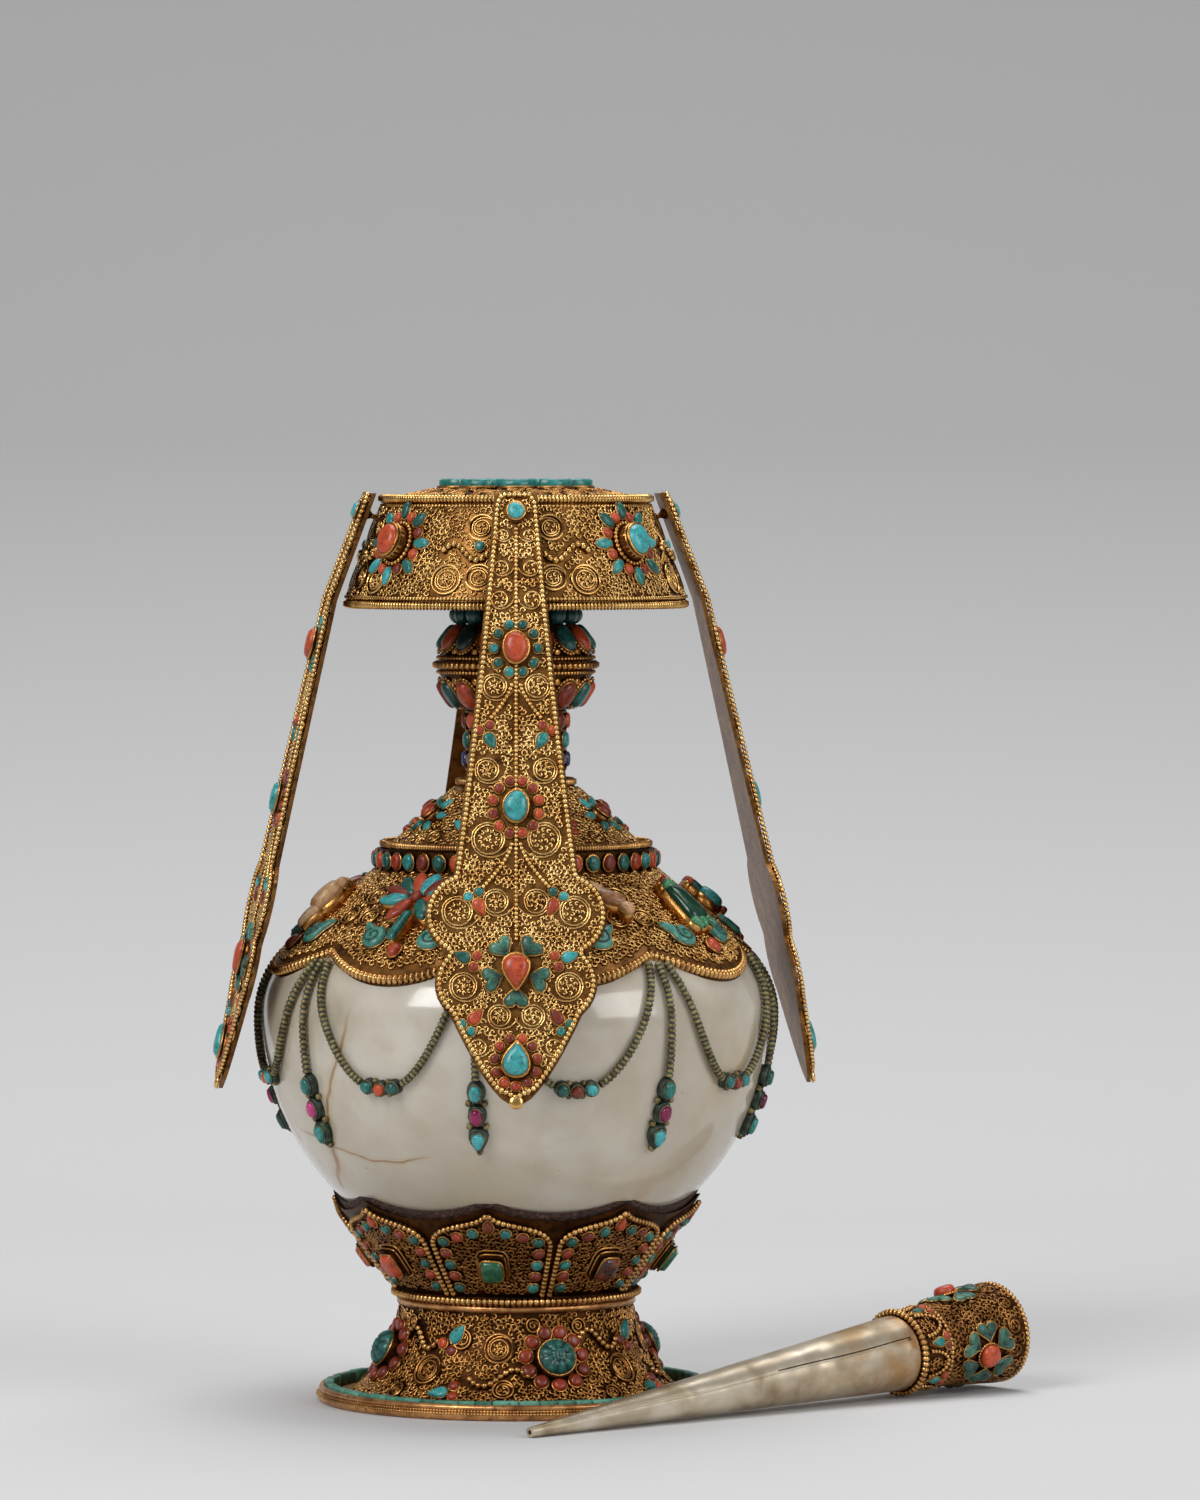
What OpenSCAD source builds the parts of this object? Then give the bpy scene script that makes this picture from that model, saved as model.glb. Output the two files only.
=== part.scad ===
// Tibetan bumpa vase: rock-crystal ritual vessel in gilt filigree mounts, with four hanging
// plates and a silver sprinkler that has been lifted out of the mouth and laid beside it.
// Millimetres, +Z up. Origin: centre of the foot plate's underside. Azimuths count from the
// front (-Y) and grow towards the right (+X).

/* [Foot] */
// Outer radius of the foot plate
plate_r = 61.4; // [56:0.2:70]
// Height of the foot plate's rim
plate_h = 4.6; // [3.6:0.1:7]
// Thickness of the foot plate's floor
plate_t = 2; // [1.2:0.1:3]
// Radius of the foot cone where it stands on the plate
foot_r = 51; // [45:0.5:53]
// Radius of the foot cone at its top
foot_top_r = 35.6; // [32:0.2:38]
// Height of the foot cone
foot_h = 28; // [24:0.5:34]
// Wall of the foot cone
foot_wall = 1.5; // [1:0.1:2.5]
// Radius of the four carved bosses on the foot
boss_r = 5.6; // [4:0.1:6.5]

/* [Lotus cup] */
// Height of the plain band under the cup
band_h = 2; // [1.2:0.1:4]
// Radius of the beaded waist wire
waist_wire_r = 1.3; // [0.8:0.05:1.8]
// Height of the cup from its floor to the petal tips
cup_h = 32; // [28:0.5:36]
// Gap between the crystal and the inside of the petal tips
cup_gap = 0.65; // [0.5:0.05:2]
// Wall of the cup
cup_wall = 1.2; // [0.8:0.1:1.4]
// How far the cup edge dips between two petals
petal_dip = 4.5; // [2:0.1:7]
// Radius of the petals' border wire
petal_wire_r = 0.9; // [0.6:0.05:1.2]

/* [Crystal] */
// Largest radius of the crystal body
body_r = 78.1; // [74:0.1:80]
// Height of the crystal's lowest point above the table
body_low_z = 40.9; // [40:0.1:44]
// Radius of the rounded shoulder
shoulder_r = 26; // [20:0.5:32]
// Radius of the crystal's flat top
body_top_r = 42; // [38:0.5:46]
// Thickness of the crystal wall
crystal_wall = 7; // [4:0.5:10]

/* [Shoulder cape and festoons] */
// Sheet thickness of the cape
cape_t = 1.5; // [1:0.1:2.5]
// How far a lobe of the cape ends inside the crystal's widest radius
lobe_in = 3.1; // [1:0.1:5]
// How far a cusp of the cape ends inside the crystal's widest radius
cusp_in = 10; // [8:0.1:13]
// Radius of the wire on the cape's edge
cape_wire_r = 1.2; // [0.8:0.05:1.6]
// Radius of a festoon rope
rope_r = 1.3; // [0.9:0.05:1.8]
// How far a swag hangs below the crystal's widest line
swag_drop = 18; // [11:0.5:23]
// How far the pendants' pointed ends hang below the crystal's widest line
pendant_drop = 39; // [33:0.5:41]

/* [Neck] */
// Radius of the bore of the mouth tube
mouth_r = 12.3; // [10:0.1:12.6]
// Wall of the mouth tube
tube_wall = 1.2; // [0.8:0.1:1.4]
// Height of the gem band
gem_band_h = 7.7; // [6:0.1:10]
// Height of the neck dome
dome_h = 19; // [14:0.5:24]
// Height of the lower neck
neck_h = 23.6; // [20:0.2:28]
// Height of the knop
knop_h = 25.8; // [22:0.2:30]
// Radius of the knop core
knop_r = 23.5; // [22:0.1:26]
// Radius of the beads in the collar
bead_r = 2.9; // [2:0.1:3.2]

/* [Canopy] */
// Height of the canopy wall
canopy_h = 29.5; // [26:0.5:34]
// Radius of the canopy at its bottom rim
canopy_low_r = 52.2; // [48:0.2:56]
// Radius of the canopy at its top rim
canopy_top_r = 41; // [38:0.2:44]
// Sheet thickness of the canopy
canopy_t = 1.4; // [1:0.1:2]
// Radius of the rim ropes of the canopy
rim_rope_r = 1.35; // [1:0.05:1.6]
// Radius of the rosette round the mouth
rosette_r = 25.3; // [23:0.1:28]
// Height of the rosette
rosette_h = 3.4; // [2:0.1:5]

/* [Hanging plates] */
// Length of a plate
lappet_len = 188.5; // [178:0.5:192]
// Half width of a plate at its top
lappet_top_w = 6.5; // [5:0.1:8]
// Half width of a plate across its first lobe
lappet_lobe_w = 27.1; // [24:0.1:29]
// Sheet thickness of a plate
lappet_t = 1.2; // [0.8:0.1:1.8]
// Gap between canopy and plate at the pin
stand_off = 3.6; // [3.4:0.1:6]
// Gap between the plate's back and the crystal's widest line
belly_gap = 7.4; // [6.5:0.1:12]
// Radius of the pin
pin_r = 0.8; // [0.6:0.05:1.2]
// Radius of the beaded border wire
border_r = 1.05; // [0.7:0.05:1.3]

/* [Sprinkler] */
// Length of the silver cone
cone_len = 152; // [130:1:170]
// Radius of the cone at its wide end
cone_r = 11.7; // [11.5:0.05:11.9]
// Radius of the cone at its tip
tip_r = 1.5; // [1.2:0.05:2.2]
// Wall of the silver cone
cone_wall = 0.8; // [0.5:0.05:0.9]
// Length of the flared collar
collar_len = 40; // [30:0.5:48]
// Radius of the collar at its mouth
collar_r = 15.3; // [13:0.1:16]

/* [Hidden] */
$fn = 72;
seat = 0.05;                 // gap under a soldered or glued piece
fit = 0.15;                  // radial gap of a sleeve on its tube
run = 0.12;                  // radial running gap of a pin in its hole
glue = 0.4;                  // gap between crystal and metal
tube_sides = 6;              // sides of a swept wire
petals = 8;
petal_az = -9;               // azimuth of the first petal, cusp and pendant
lobe_az = petal_az + 180 / petals;
lappet_az = [0, 97, 185, 277];
flower_az = [48, 138, 228, 309];

// Foot: concave arc through foot edge and waist
foot_top_z = plate_t + foot_h;
foot_rise = 3;
foot_arc_x = (pow(foot_r, 2) - pow(foot_top_r, 2) + foot_h * foot_h + 2 * foot_h * foot_rise)
    / (2 * (foot_r - foot_top_r));
foot_arc_z = foot_top_z + foot_rise;
foot_arc_r = norm([foot_arc_x - foot_top_r, foot_rise]);
boss_z = foot_top_z * 0.52;
boss_az = 17;
boss_collet_h = 3;

// Heights and radii that follow the crystal
body_z = body_low_z + body_r;
swag_z = body_z - swag_drop;
pendant_z = body_z - pendant_drop;
lobe_r = body_r - lobe_in;
cusp_r = body_r - cusp_in;

// Lotus cup
band_r = foot_top_r + 0.9;
cup_z = foot_top_z + band_h;
cup_low_r = band_r - 0.5;
waist_ring_r = cup_low_r + waist_wire_r + 0.2;
waist_ring_z = cup_z + waist_wire_r;
flare_z = waist_ring_z + waist_wire_r + 0.1;
tip_z = cup_z + cup_h;
cup_r = sqrt(pow(body_r, 2) - pow(body_z - tip_z, 2)) + cup_gap + cup_wall;
cup_bulge = 0.15;
pitch_lip = 2.4;
petal_half = 180 / petals;
dip_r = (pow(cup_r * sin(petal_half), 2) + pow(petal_dip, 2)) / (2 * petal_dip);
petal_stone = [6.4, 8.2, 2.6];
petal_collet_h = 2.2;

// Crystal: sphere below, round shoulder, straight slope to the flat top
shoulder_x = body_r - shoulder_r;
slope_deg = 49.2;            // direction of the slope's outward normal above horizontal
tangent = [shoulder_x + shoulder_r * cos(slope_deg), body_z + shoulder_r * sin(slope_deg)];
slope_len = (tangent[0] - body_top_r) / sin(slope_deg);
body_top_z = tangent[1] + slope_len * cos(slope_deg);
crystal_foot_z = body_low_z + 3.4;

// Cape: eight round lobes in plan
cape_off = glue + cape_t;
lobe_chord = cusp_r * sin(petal_half);
lobe_sag = lobe_r - cusp_r * cos(petal_half);
lobe_rad = (lobe_chord * lobe_chord + lobe_sag * lobe_sag) / (2 * lobe_sag);
lobe_x = lobe_r - lobe_rad;
emblem_r = shoulder_x + 5.4;
emblem_collet_h = 3.4;
emblem_t = 2.6;

// Neck, from the crystal's flat top upwards
tube_r = mouth_r + tube_wall;
sleeve_r = tube_r + fit;
gem_band_z = body_top_z + 0.2;
gem_band_r = body_top_r + 0.3;
dome_z = gem_band_z + gem_band_h;
dome_low_r = gem_band_r - 3;
dome_top_r = sleeve_r + 4.6;
dome_wire_r = 1.3;
neck_z = dome_z + dome_h + seat;
neck_r = sleeve_r + 1;
knop_z = neck_z + neck_h;
knop_top_z = knop_z + knop_h;
knop_low_r = neck_r + 2;
knop_belt_z = knop_z + knop_h * 0.53;
belt_wire_r = 1.1;
belt_half = 3;
bead_ring_r = neck_r + bead_r + 0.1;
beads = floor(2 * PI * bead_ring_r / (2 * bead_r + 1));
collar_h = 2 * bead_r + 2.2;
stones_per_row = 12;
knop_stones = 16;
knop_stone = [6.6, 9.4, 3];
band_stones = 44;

// Canopy
canopy_z = knop_top_z + collar_h;
canopy_top_z = canopy_z + canopy_h;
wall_tan = (canopy_low_r - canopy_top_r) / canopy_h;
wall_lean = atan(wall_tan);
flower_z = canopy_z + canopy_h * 0.58;
flower_collet_h = 3.6;
flower_stone = [8, 9.6, 2.8];
roof_rise = 2.9;
roof_t = 1.2;
roof_z = canopy_top_z + seat + roof_rise;
mouth_z = roof_z + roof_t + seat;
flange_t = 1.1;
flange_r = tube_r + 1.6;
tube_top_z = mouth_z + flange_t + 0.6;
tube_low_z = body_top_z - crystal_wall + 0.5;
rosette_petals = 10;

// Hanging plates: bent sheet, pin square to its upper part
pin_s = 6.8;
bend_s = 35;
pin_z = canopy_top_z - 4.6;
pin_wall_r = canopy_top_r + (canopy_top_z - pin_z) * wall_tan;
pin_back = [pin_wall_r + stand_off * cos(wall_lean), pin_z + stand_off * sin(wall_lean)];
bend_back = pin_back + (bend_s - pin_s) * [sin(wall_lean), -cos(wall_lean)];
lappet_lean = atan((body_r + belly_gap - bend_back[0]) / (bend_back[1] - body_z));
pin_in = stand_off + canopy_t + 0.9;
pin_head = [1.8, 0.8];
pin_flare = [2.2, 1.6];
stud_r = 2.6;
stud_collet_h = 1.6;
upper_steps = [for (i = [0:9]) i * 12.8 + 0.01];
lappet_steps = concat([for (s = upper_steps) if (s < bend_s - 1) s], [bend_s],
    [for (s = upper_steps) if (s > bend_s + 1) s], [for (i = [0:28]) 118 + i * 2.5]);

// Sprinkler: cone tip and seat ring both touch the table
seat_wire_r = 1.25;
seat_ring_r = cone_r + 0.9;
seat_ring_s = cone_len + seat_wire_r + seat;
collar_s = seat_ring_s + seat_wire_r + seat;
sprinkler_lift = atan((seat_ring_r + seat_wire_r - tip_r) / seat_ring_s);
sprinkler_yaw = 42;
sprinkler_tip = [4, -102, tip_r * cos(sprinkler_lift)];
spigot_r = cone_r - cone_wall - 0.5;
spigot_len = 3;
tip_hole_r = 0.7;
flower_turns = [285, 45, 165]; // turns of the collar's flowers about its axis

// Filigree whorls: the width and height of their ring of wire, then each whorl's turn, place and radius
whorl_wire = [0.7, 0.75];
// Turn from a boss, share of the foot's height
foot_whorls = [[-25, 0.61, 5], [33, 0.36, 5.2], [-22, 0.19, 3.6], [22, 0.13, 3], [47, 0.7, 3.4],
    [14, 0.84, 2.6], [-9, 0.86, 2.4]];
// Turn from the middle of a lobe, distance beyond the shoulder's centre
cape_whorls = [[17.8, 6.4, 3.8], [-17.8, 6.4, 3.8], [22.5, -0.6, 4.2]];
// Turn from a hanging plate, share of the canopy's height
drum_whorls = [[13.5, 0.75, 4.4], [13, 0.24, 4.4]];

gilt = [0.72, 0.53, 0.22];
copper = [0.55, 0.36, 0.18];
turquoise = [0.16, 0.50, 0.47];
coral = [0.72, 0.24, 0.16];
patina = [0.30, 0.36, 0.28];
crystal = [0.86, 0.84, 0.79];
pitch = [0.20, 0.12, 0.08];
silver = [0.68, 0.65, 0.58];

// Radius of the foot cone at height z, and the lean of its outward normal
function foot_at(z) = foot_arc_x - sqrt(foot_arc_r * foot_arc_r - pow(foot_arc_z - z, 2));
function foot_lean(z) = asin((foot_arc_z - z) / foot_arc_r);

// Radius of the cup at height z
function cup_u(z) = (z - flare_z) / (tip_z - flare_z);
function cup_at(z) = z < flare_z ? cup_low_r
    : cup_low_r + (cup_r - cup_low_r) * (cup_u(z) * (1 + cup_bulge) - cup_bulge * pow(cup_u(z), 2));
function cup_lean(z) = -atan((cup_at(z + 0.5) - cup_at(z - 0.5)));

// Height of the scalloped cup edge at an angle from a petal tip
function edge_at(a) = tip_z - petal_dip + dip_r
    - sqrt(dip_r * dip_r - pow(cup_r * sin(petal_half - abs(a)), 2));

// Radius of the crystal at height z, and the lean of its outward normal
function body_at(z) = z < body_z ? sqrt(body_r * body_r - pow(body_z - z, 2))
    : z < tangent[1] ? shoulder_x + sqrt(shoulder_r * shoulder_r - pow(z - body_z, 2))
    : tangent[0] - (z - tangent[1]) * tan(slope_deg);
function body_lean(z) = z < body_z ? -asin((body_z - z) / body_r)
    : min(slope_deg, asin(min(1, (z - body_z) / shoulder_r)));

// Height of the cape's outer face at plan radius r
function cape_at(r) = let(rr = shoulder_r + cape_off, tx = shoulder_x + rr * cos(slope_deg))
    r > tx ? body_z + sqrt(max(0, rr * rr - pow(r - shoulder_x, 2)))
    : body_z + rr * sin(slope_deg) + (tx - r) / tan(slope_deg);
function cape_lean(r) = let(rr = shoulder_r + cape_off)
    min(slope_deg, acos(min(1, (r - shoulder_x) / rr)));

// Plan radius of the scalloped cape edge at an angle from a lobe's middle
function lobe_at(a) = lobe_x * cos(a) + sqrt(lobe_rad * lobe_rad - pow(lobe_x * sin(a), 2));

// Half width of a hanging plate at distance s from its top
function lens(s, mid, half, x, rx) = abs(s - mid) < half
    ? x + rx * sqrt(1 - pow((s - mid) / half, 2)) : 0;
function lappet_w(s) = let(u = s / lappet_len, k = lappet_lobe_w / 27.1)
    max(u < 0.64 ? lappet_top_w + 13.85 * u + 8.9 * u * u : 0,
        lens(u, 0.692, 0.0684, 14.2 * k, 12.9 * k),
        lens(u, 0.801, 0.0647, 12 * k, 12.2 * k),
        u > 0.8 ? 2.25 * k * pow(max(0, lappet_len * (1 - u)), 0.65) : 0);
function lappet_dw(s) = (lappet_w(s + 0.4) - lappet_w(s - 0.4)) / 0.8;
function lappet_tau(s) = s < bend_s ? wall_lean : lappet_lean;
// Point of a plate in the radius-height plane, h above its back
function lappet_back(s) = let(a = min(s, bend_s) - pin_s, b = max(0, s - bend_s))
    pin_back + a * [sin(wall_lean), -cos(wall_lean)] + b * [sin(lappet_lean), -cos(lappet_lean)];
function lappet_at(s, h) = lappet_back(s) + h * [cos(lappet_tau(s)), sin(lappet_tau(s))];

function unit(v) = v / norm(v);
// Point at azimuth az, radius r, height z
function polar(az, r, z) = [r * sin(az), -r * cos(az), z];
// Unit vector at azimuth az that leans up by lean
function outward(az, lean) = polar(az, cos(lean), sin(lean));

// Puts children on a surface of revolution: z outwards, y up the surface
module on_surface(az, r, z, lean) {
    rotate([0, 0, az])
        translate([0, -r, z])
            rotate([90 - lean, 0, 0])
                children();
}

// Round wire swept along points, with a normal at each; closed loops join end to start
module wire(pts, normals, r, closed = false) {
    m = len(pts);
    k = tube_sides;
    function prev(i) = closed ? (i + m - 1) % m : max(i - 1, 0);
    function next(i) = closed ? (i + 1) % m : min(i + 1, m - 1);
    dirs = [for (i = [0:m - 1]) unit(pts[next(i)] - pts[prev(i)])];
    ring = [for (i = [0:m - 1], j = [0:k - 1])
        let(n = unit(normals[i] - (normals[i] * dirs[i]) * dirs[i]), b = cross(dirs[i], n))
        pts[i] + r * (cos(360 * j / k) * n + sin(360 * j / k) * b)];
    side = [for (i = [0:m - (closed ? 1 : 2)], j = [0:k - 1], half = [0, 1])
        let(i2 = (i + 1) % m, j2 = (j + 1) % k)
        half == 0 ? [i * k + j, i2 * k + j, i2 * k + j2] : [i * k + j, i2 * k + j2, i * k + j2]];
    caps = closed ? [] : concat(
        [for (j = [1:k - 2]) [0, j, j + 1]],
        [for (j = [1:k - 2]) (m - 1) * k * [1, 1, 1] + [0, j + 1, j]]);
    polyhedron(ring, concat(side, caps), convexity = 6);
}

// Filigree whorl: a ring of flat wire soldered on a sheet that is t thick
module whorl(r, t) {
    translate([0, 0, -t / 2])
        difference() {
            cylinder(r = r, h = t / 2 + whorl_wire[1]);
            translate([0, 0, -1])
                cylinder(r = r - whorl_wire[0], h = t / 2 + whorl_wire[1] + 2);
        }
}

// Wire bent into a flat ring
module ring_wire(ring_r, r, z) {
    translate([0, 0, z])
        rotate_extrude()
            translate([ring_r, 0])
                circle(r);
}

// Round cabochon: a cap of a sphere
module cabochon(d, h) {
    ball = (d * d / 4 + h * h) / (2 * h);
    intersection() {
        translate([0, 0, h - ball])
            sphere(ball);
        translate([-d, -d, 0])
            cube([2 * d, 2 * d, 2 * h]);
    }
}

module oval(w, l) {
    polygon([for (a = [0:15:345]) [w / 2 * cos(a), l / 2 * sin(a)]]);
}

// Teardrop, round end at -y and point at +y, l long and w wide
module drop(w, l) {
    lift = l / 2 - w / 2;
    polygon([for (a = [0:18:342])
        [w * 0.65 * sin(a) * sin(a / 2), lift + l / 2 * cos(a)]]);
}

// Cut stone: an outline under a dome that is h high in its middle
module domed(w, l, h) {
    rim = h * 0.55;
    ball = (l * l / 4 + rim * rim) / (2 * rim);
    intersection() {
        translate([0, 0, h - ball])
            sphere(ball);
        linear_extrude(height = h)
            children();
    }
}

module oval_stone(w, l, h) {
    domed(w, l, h)
        oval(w, l);
}

module drop_stone(w, l, h) {
    domed(w, 1.5 * l, h)
        drop(w, l);
}

// Outline of the crystal in the radius-height plane, grown by o
module body_outline(o) {
    lap = 5;
    rr = shoulder_r + o;
    t = [shoulder_x + rr * cos(slope_deg), body_z + rr * sin(slope_deg)];
    top = t + slope_len * [-sin(slope_deg), cos(slope_deg)];
    intersection() {
        translate([0, body_z])
            circle(body_r + o);
        translate([0, body_z - body_r - o])
            square([body_r + o + 1, body_r + o]);
    }
    intersection() {
        translate([shoulder_x, body_z])
            circle(rr);
        translate([shoulder_x - lap, body_z])
            square([rr + lap + 1, t[1] - body_z]);
    }
    polygon([[0, body_z - lap], [shoulder_x, body_z - lap], [shoulder_x, t[1] - lap], t, top,
        [0, top[1]]]);
}

module foot_plate() {
    color(gilt)
        rotate_extrude()
            union() {
                square([plate_r - 1, plate_t]);
                translate([plate_r - 2, 0])
                    square([1, plate_h]);
                translate([plate_r - 1.3, plate_h * 0.3])
                    circle(1.3);
                translate([plate_r - 1.5, plate_h - 1])
                    circle(0.95);
            }
}

module plate_inlay_ring() {
    inlay_w = 2.6;
    color(turquoise)
        translate([0, 0, plate_t + seat])
            rotate_extrude()
                translate([plate_r - 2.6 - inlay_w, 0])
                    square([inlay_w, plate_h - plate_t + 1]);
}

module foot_outline(o) {
    difference() {
        translate([0, plate_t + seat])
            square([foot_r - o, foot_h]);
        translate([foot_arc_x, foot_arc_z])
            circle(foot_arc_r + o);
    }
}

module foot_cone() {
    color(copper)
        union() {
            rotate_extrude()
                union() {
                    difference() {
                        foot_outline(0);
                        foot_outline(foot_wall);
                    }
                    translate([0, foot_top_z - foot_wall])
                        square([foot_top_r, foot_wall]);
                    translate([0, foot_top_z])
                        square([band_r, band_h]);
                }
            for (i = [0:3])
                on_surface(boss_az + 90 * i, foot_at(boss_z), boss_z, foot_lean(boss_z))
                    translate([0, 0, -foot_wall / 2])
                        cylinder(r = boss_r + 0.8, h = boss_collet_h + foot_wall / 2);
            for (i = [0:3], w = foot_whorls)
                let(z = plate_t + foot_h * w[1])
                on_surface(boss_az + 90 * i + w[0], foot_at(z), z, foot_lean(z))
                    whorl(w[2], foot_wall);
        }
}

module foot_turquoises() {
    color(turquoise)
        for (i = [0:3])
            on_surface(boss_az + 90 * i, foot_at(boss_z), boss_z, foot_lean(boss_z))
                translate([0, 0, boss_collet_h + seat])
                    cabochon(2 * boss_r, boss_r * 0.6);
}

module waist_rope() {
    color(gilt)
        ring_wire(waist_ring_r, waist_wire_r, waist_ring_z + seat);
}

// Cutters that leave eight pointed petals, lift above the cup edge
module petal_dips(lift) {
    half = cup_r * sin(petal_half);
    low = tip_z - petal_dip + lift;
    top = low + 3 * petal_dip;
    arc = [for (u = [-1.06:0.212:1.061]) [u * half, low + dip_r - sqrt(dip_r * dip_r - pow(u * half, 2))]];
    for (i = [0:petals - 1])
        rotate([0, 0, petal_az + petal_half + i * 360 / petals])
            translate([0, -cup_low_r, 0])
                rotate([90, 0, 0])
                    linear_extrude(height = cup_r)
                        polygon(concat(arc, [[1.06 * half, top], [-1.06 * half, top]]));
}

module lotus_cup() {
    steps = 4;
    rise = [for (i = [0:steps]) flare_z + (tip_z - flare_z) * i / steps];
    stone_z = cup_z + cup_h * 0.42;
    color(copper)
        union() {
            difference() {
                rotate_extrude()
                    polygon(concat(
                        [[0, cup_z], [cup_low_r, cup_z]],
                        [for (z = rise) [cup_at(z), z]],
                        [for (i = [steps:-1:0]) [cup_at(rise[i]) - cup_wall, rise[i]]],
                        [[cup_low_r - cup_wall, cup_z + cup_wall], [0, cup_z + cup_wall]]));
                petal_dips(0);
            }
            for (i = [0:petals - 1])
                on_surface(petal_az + 45 * i, cup_at(stone_z), stone_z, cup_lean(stone_z))
                    translate([-petal_stone[0] / 2 - 0.7, -petal_stone[1] / 2 - 0.7, -cup_wall / 2])
                        cube([petal_stone[0] + 1.4, petal_stone[1] + 1.4, petal_collet_h + cup_wall / 2]);
        }
}

module petal_borders() {
    side_a = petal_half - 1.9;
    low_z = flare_z + 2;
    low = [for (i = [0:4]) [-side_a, low_z + (edge_at(side_a) - 2.4 - low_z) * i / 4]];
    top = [for (i = [1:7]) [-side_a + side_a * i / 7, edge_at(side_a - side_a * i / 7) - 2.4]];
    left = concat(low, top);
    path = concat(left, [for (i = [len(left) - 2:-1:0]) [-left[i][0], left[i][1]]]);
    color(gilt)
        for (k = [0:petals - 1])
            let(az = petal_az + 45 * k, h = petal_wire_r + seat + 0.1)
            wire([for (p = path) polar(az + p[0], cup_at(p[1]), p[1])
                    + h * outward(az + p[0], cup_lean(p[1]))],
                [for (p = path) outward(az + p[0], cup_lean(p[1]))], petal_wire_r);
}

module petal_stones() {
    stone_z = cup_z + cup_h * 0.42;
    color(turquoise)
        for (i = [0:petals - 1])
            on_surface(petal_az + 45 * i, cup_at(stone_z), stone_z, cup_lean(stone_z))
                translate([0, 0, petal_collet_h + seat])
                    domed(petal_stone[0], petal_stone[1], petal_stone[2])
                        square([petal_stone[0], petal_stone[1]], center = true);
}

module pitch_bed() {
    steps = 4;
    low = cup_z + cup_wall + seat;
    top = tip_z + pitch_lip;
    rise = [for (i = [0:steps]) flare_z + (top - flare_z) * i / steps];
    gap = cup_wall + 0.1;
    color(pitch)
        difference() {
            rotate_extrude()
                difference() {
                    polygon(concat(
                        [[0, low], [cup_low_r - gap, low]],
                        [for (z = rise) [cup_at(z) - gap, z]],
                        [[0, top]]));
                    translate([0, body_z])
                        circle(body_r + 0.1);
                    translate([0, crystal_foot_z - 0.1])
                        square([cup_r * 0.35, body_r]);
                }
            petal_dips(pitch_lip);
        }
}

module crystal_body() {
    floor_z = crystal_foot_z + crystal_wall;
    color(crystal)
        rotate_extrude()
            difference() {
                intersection() {
                    body_outline(0);
                    translate([0, crystal_foot_z])
                        square([body_r + 1, body_top_z - crystal_foot_z]);
                }
                intersection() {
                    body_outline(-crystal_wall);
                    translate([0, floor_z])
                        square([body_r, body_top_z - crystal_wall - floor_z]);
                }
                translate([0, body_z])
                    square([tube_r + glue, body_top_z]);
            }
}

module shoulder_cape() {
    color(copper)
        union() {
            intersection() {
                rotate_extrude()
                    difference() {
                        body_outline(cape_off);
                        body_outline(glue);
                        square([gem_band_r + 0.6, 2 * body_top_z]);
                        square([2 * body_r, body_z + 6]);
                    }
                union() {
                    cylinder(r = cusp_r - 1, h = body_top_z + 20);
                    for (i = [0:petals - 1])
                        rotate([0, 0, lobe_az + 45 * i])
                            translate([0, -lobe_x, 0])
                                cylinder(r = lobe_rad, h = body_top_z + 20);
                }
            }
            for (i = [0:petals - 1])
                on_surface(lobe_az + 45 * i, emblem_r, cape_at(emblem_r), slope_deg)
                    translate([0, 0, -cape_t / 2])
                        cylinder(r = 3, h = emblem_collet_h + cape_t / 2);
            for (i = [0:petals - 1], w = cape_whorls)
                let(r = shoulder_x + w[1])
                on_surface(lobe_az + 45 * i + w[0], r, cape_at(r), slope_deg)
                    whorl(w[2], cape_t);
        }
}

module cape_edge_wire() {
    per_lobe = 12;
    inset = 1.2;
    h = cape_wire_r + seat + 0.15;
    path = [for (i = [0:petals * per_lobe - 1])
        let(a = (i % per_lobe + 0.5) * 45 / per_lobe - petal_half,
            az = lobe_az + 45 * floor(i / per_lobe) + a)
        [az, lobe_at(a) - inset]];
    color(gilt)
        wire([for (p = path) polar(p[0], p[1], cape_at(p[1])) + h * outward(p[0], cape_lean(p[1]))],
            [for (p = path) outward(p[0], cape_lean(p[1]))], cape_wire_r, closed = true);
}

// The eight emblem outlines, y towards the neck
module emblem_lotus() {
    for (a = [-80:40:80])
        rotate(a)
            translate([0, 1.6])
                drop(3.6, 8);
    translate([-0.9, -7])
        square([1.8, 8]);
}

module emblem_conch() {
    circle(4.4);
    translate([0, 5])
        circle(2.8);
    polygon([[-4.2, 1], [4.2, 1], [1, -9], [-0.6, -9]]);
}

module emblem_fish() {
    for (m = [0, 1])
        mirror([m, 0])
            translate([2.6, 0])
                rotate(14) {
                    oval(4.2, 14);
                    translate([0, -6.4])
                        rotate(180)
                            drop(3.4, 4.6);
                }
}

module emblem_banner() {
    polygon([[-2.6, 7], [2.6, 7], [5.6, -7], [-5.6, -7]]);
    for (x = [-3.6, 0, 3.6])
        translate([x, -7])
            circle(2);
    translate([0, 7])
        circle(2.2);
}

module emblem_vase() {
    translate([0, -2])
        circle(4.8);
    translate([-1.7, 1])
        square([3.4, 6]);
    translate([-3.2, 6])
        square([6.4, 1.8]);
    translate([-3, -8])
        square([6, 2]);
}

module emblem_wheel() {
    difference() {
        circle(6.6);
        circle(4.9);
    }
    circle(1.9);
    for (a = [0:45:135])
        rotate(a)
            translate([-5.5, -0.5])
                square([11, 1]);
}

module emblem_knot() {
    for (a = [45, 135])
        rotate(a)
            for (y = [-3.6, 0, 3.6])
                translate([-5.4, y - 0.8])
                    square([10.8, 1.6]);
}

module emblem_parasol() {
    intersection() {
        circle(6.8);
        translate([-7, 0])
            square([14, 7]);
    }
    translate([-0.8, -8])
        square([1.6, 9]);
    for (x = [-5.2, 0, 5.2])
        translate([x, 0])
            circle(1.5);
}

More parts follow.
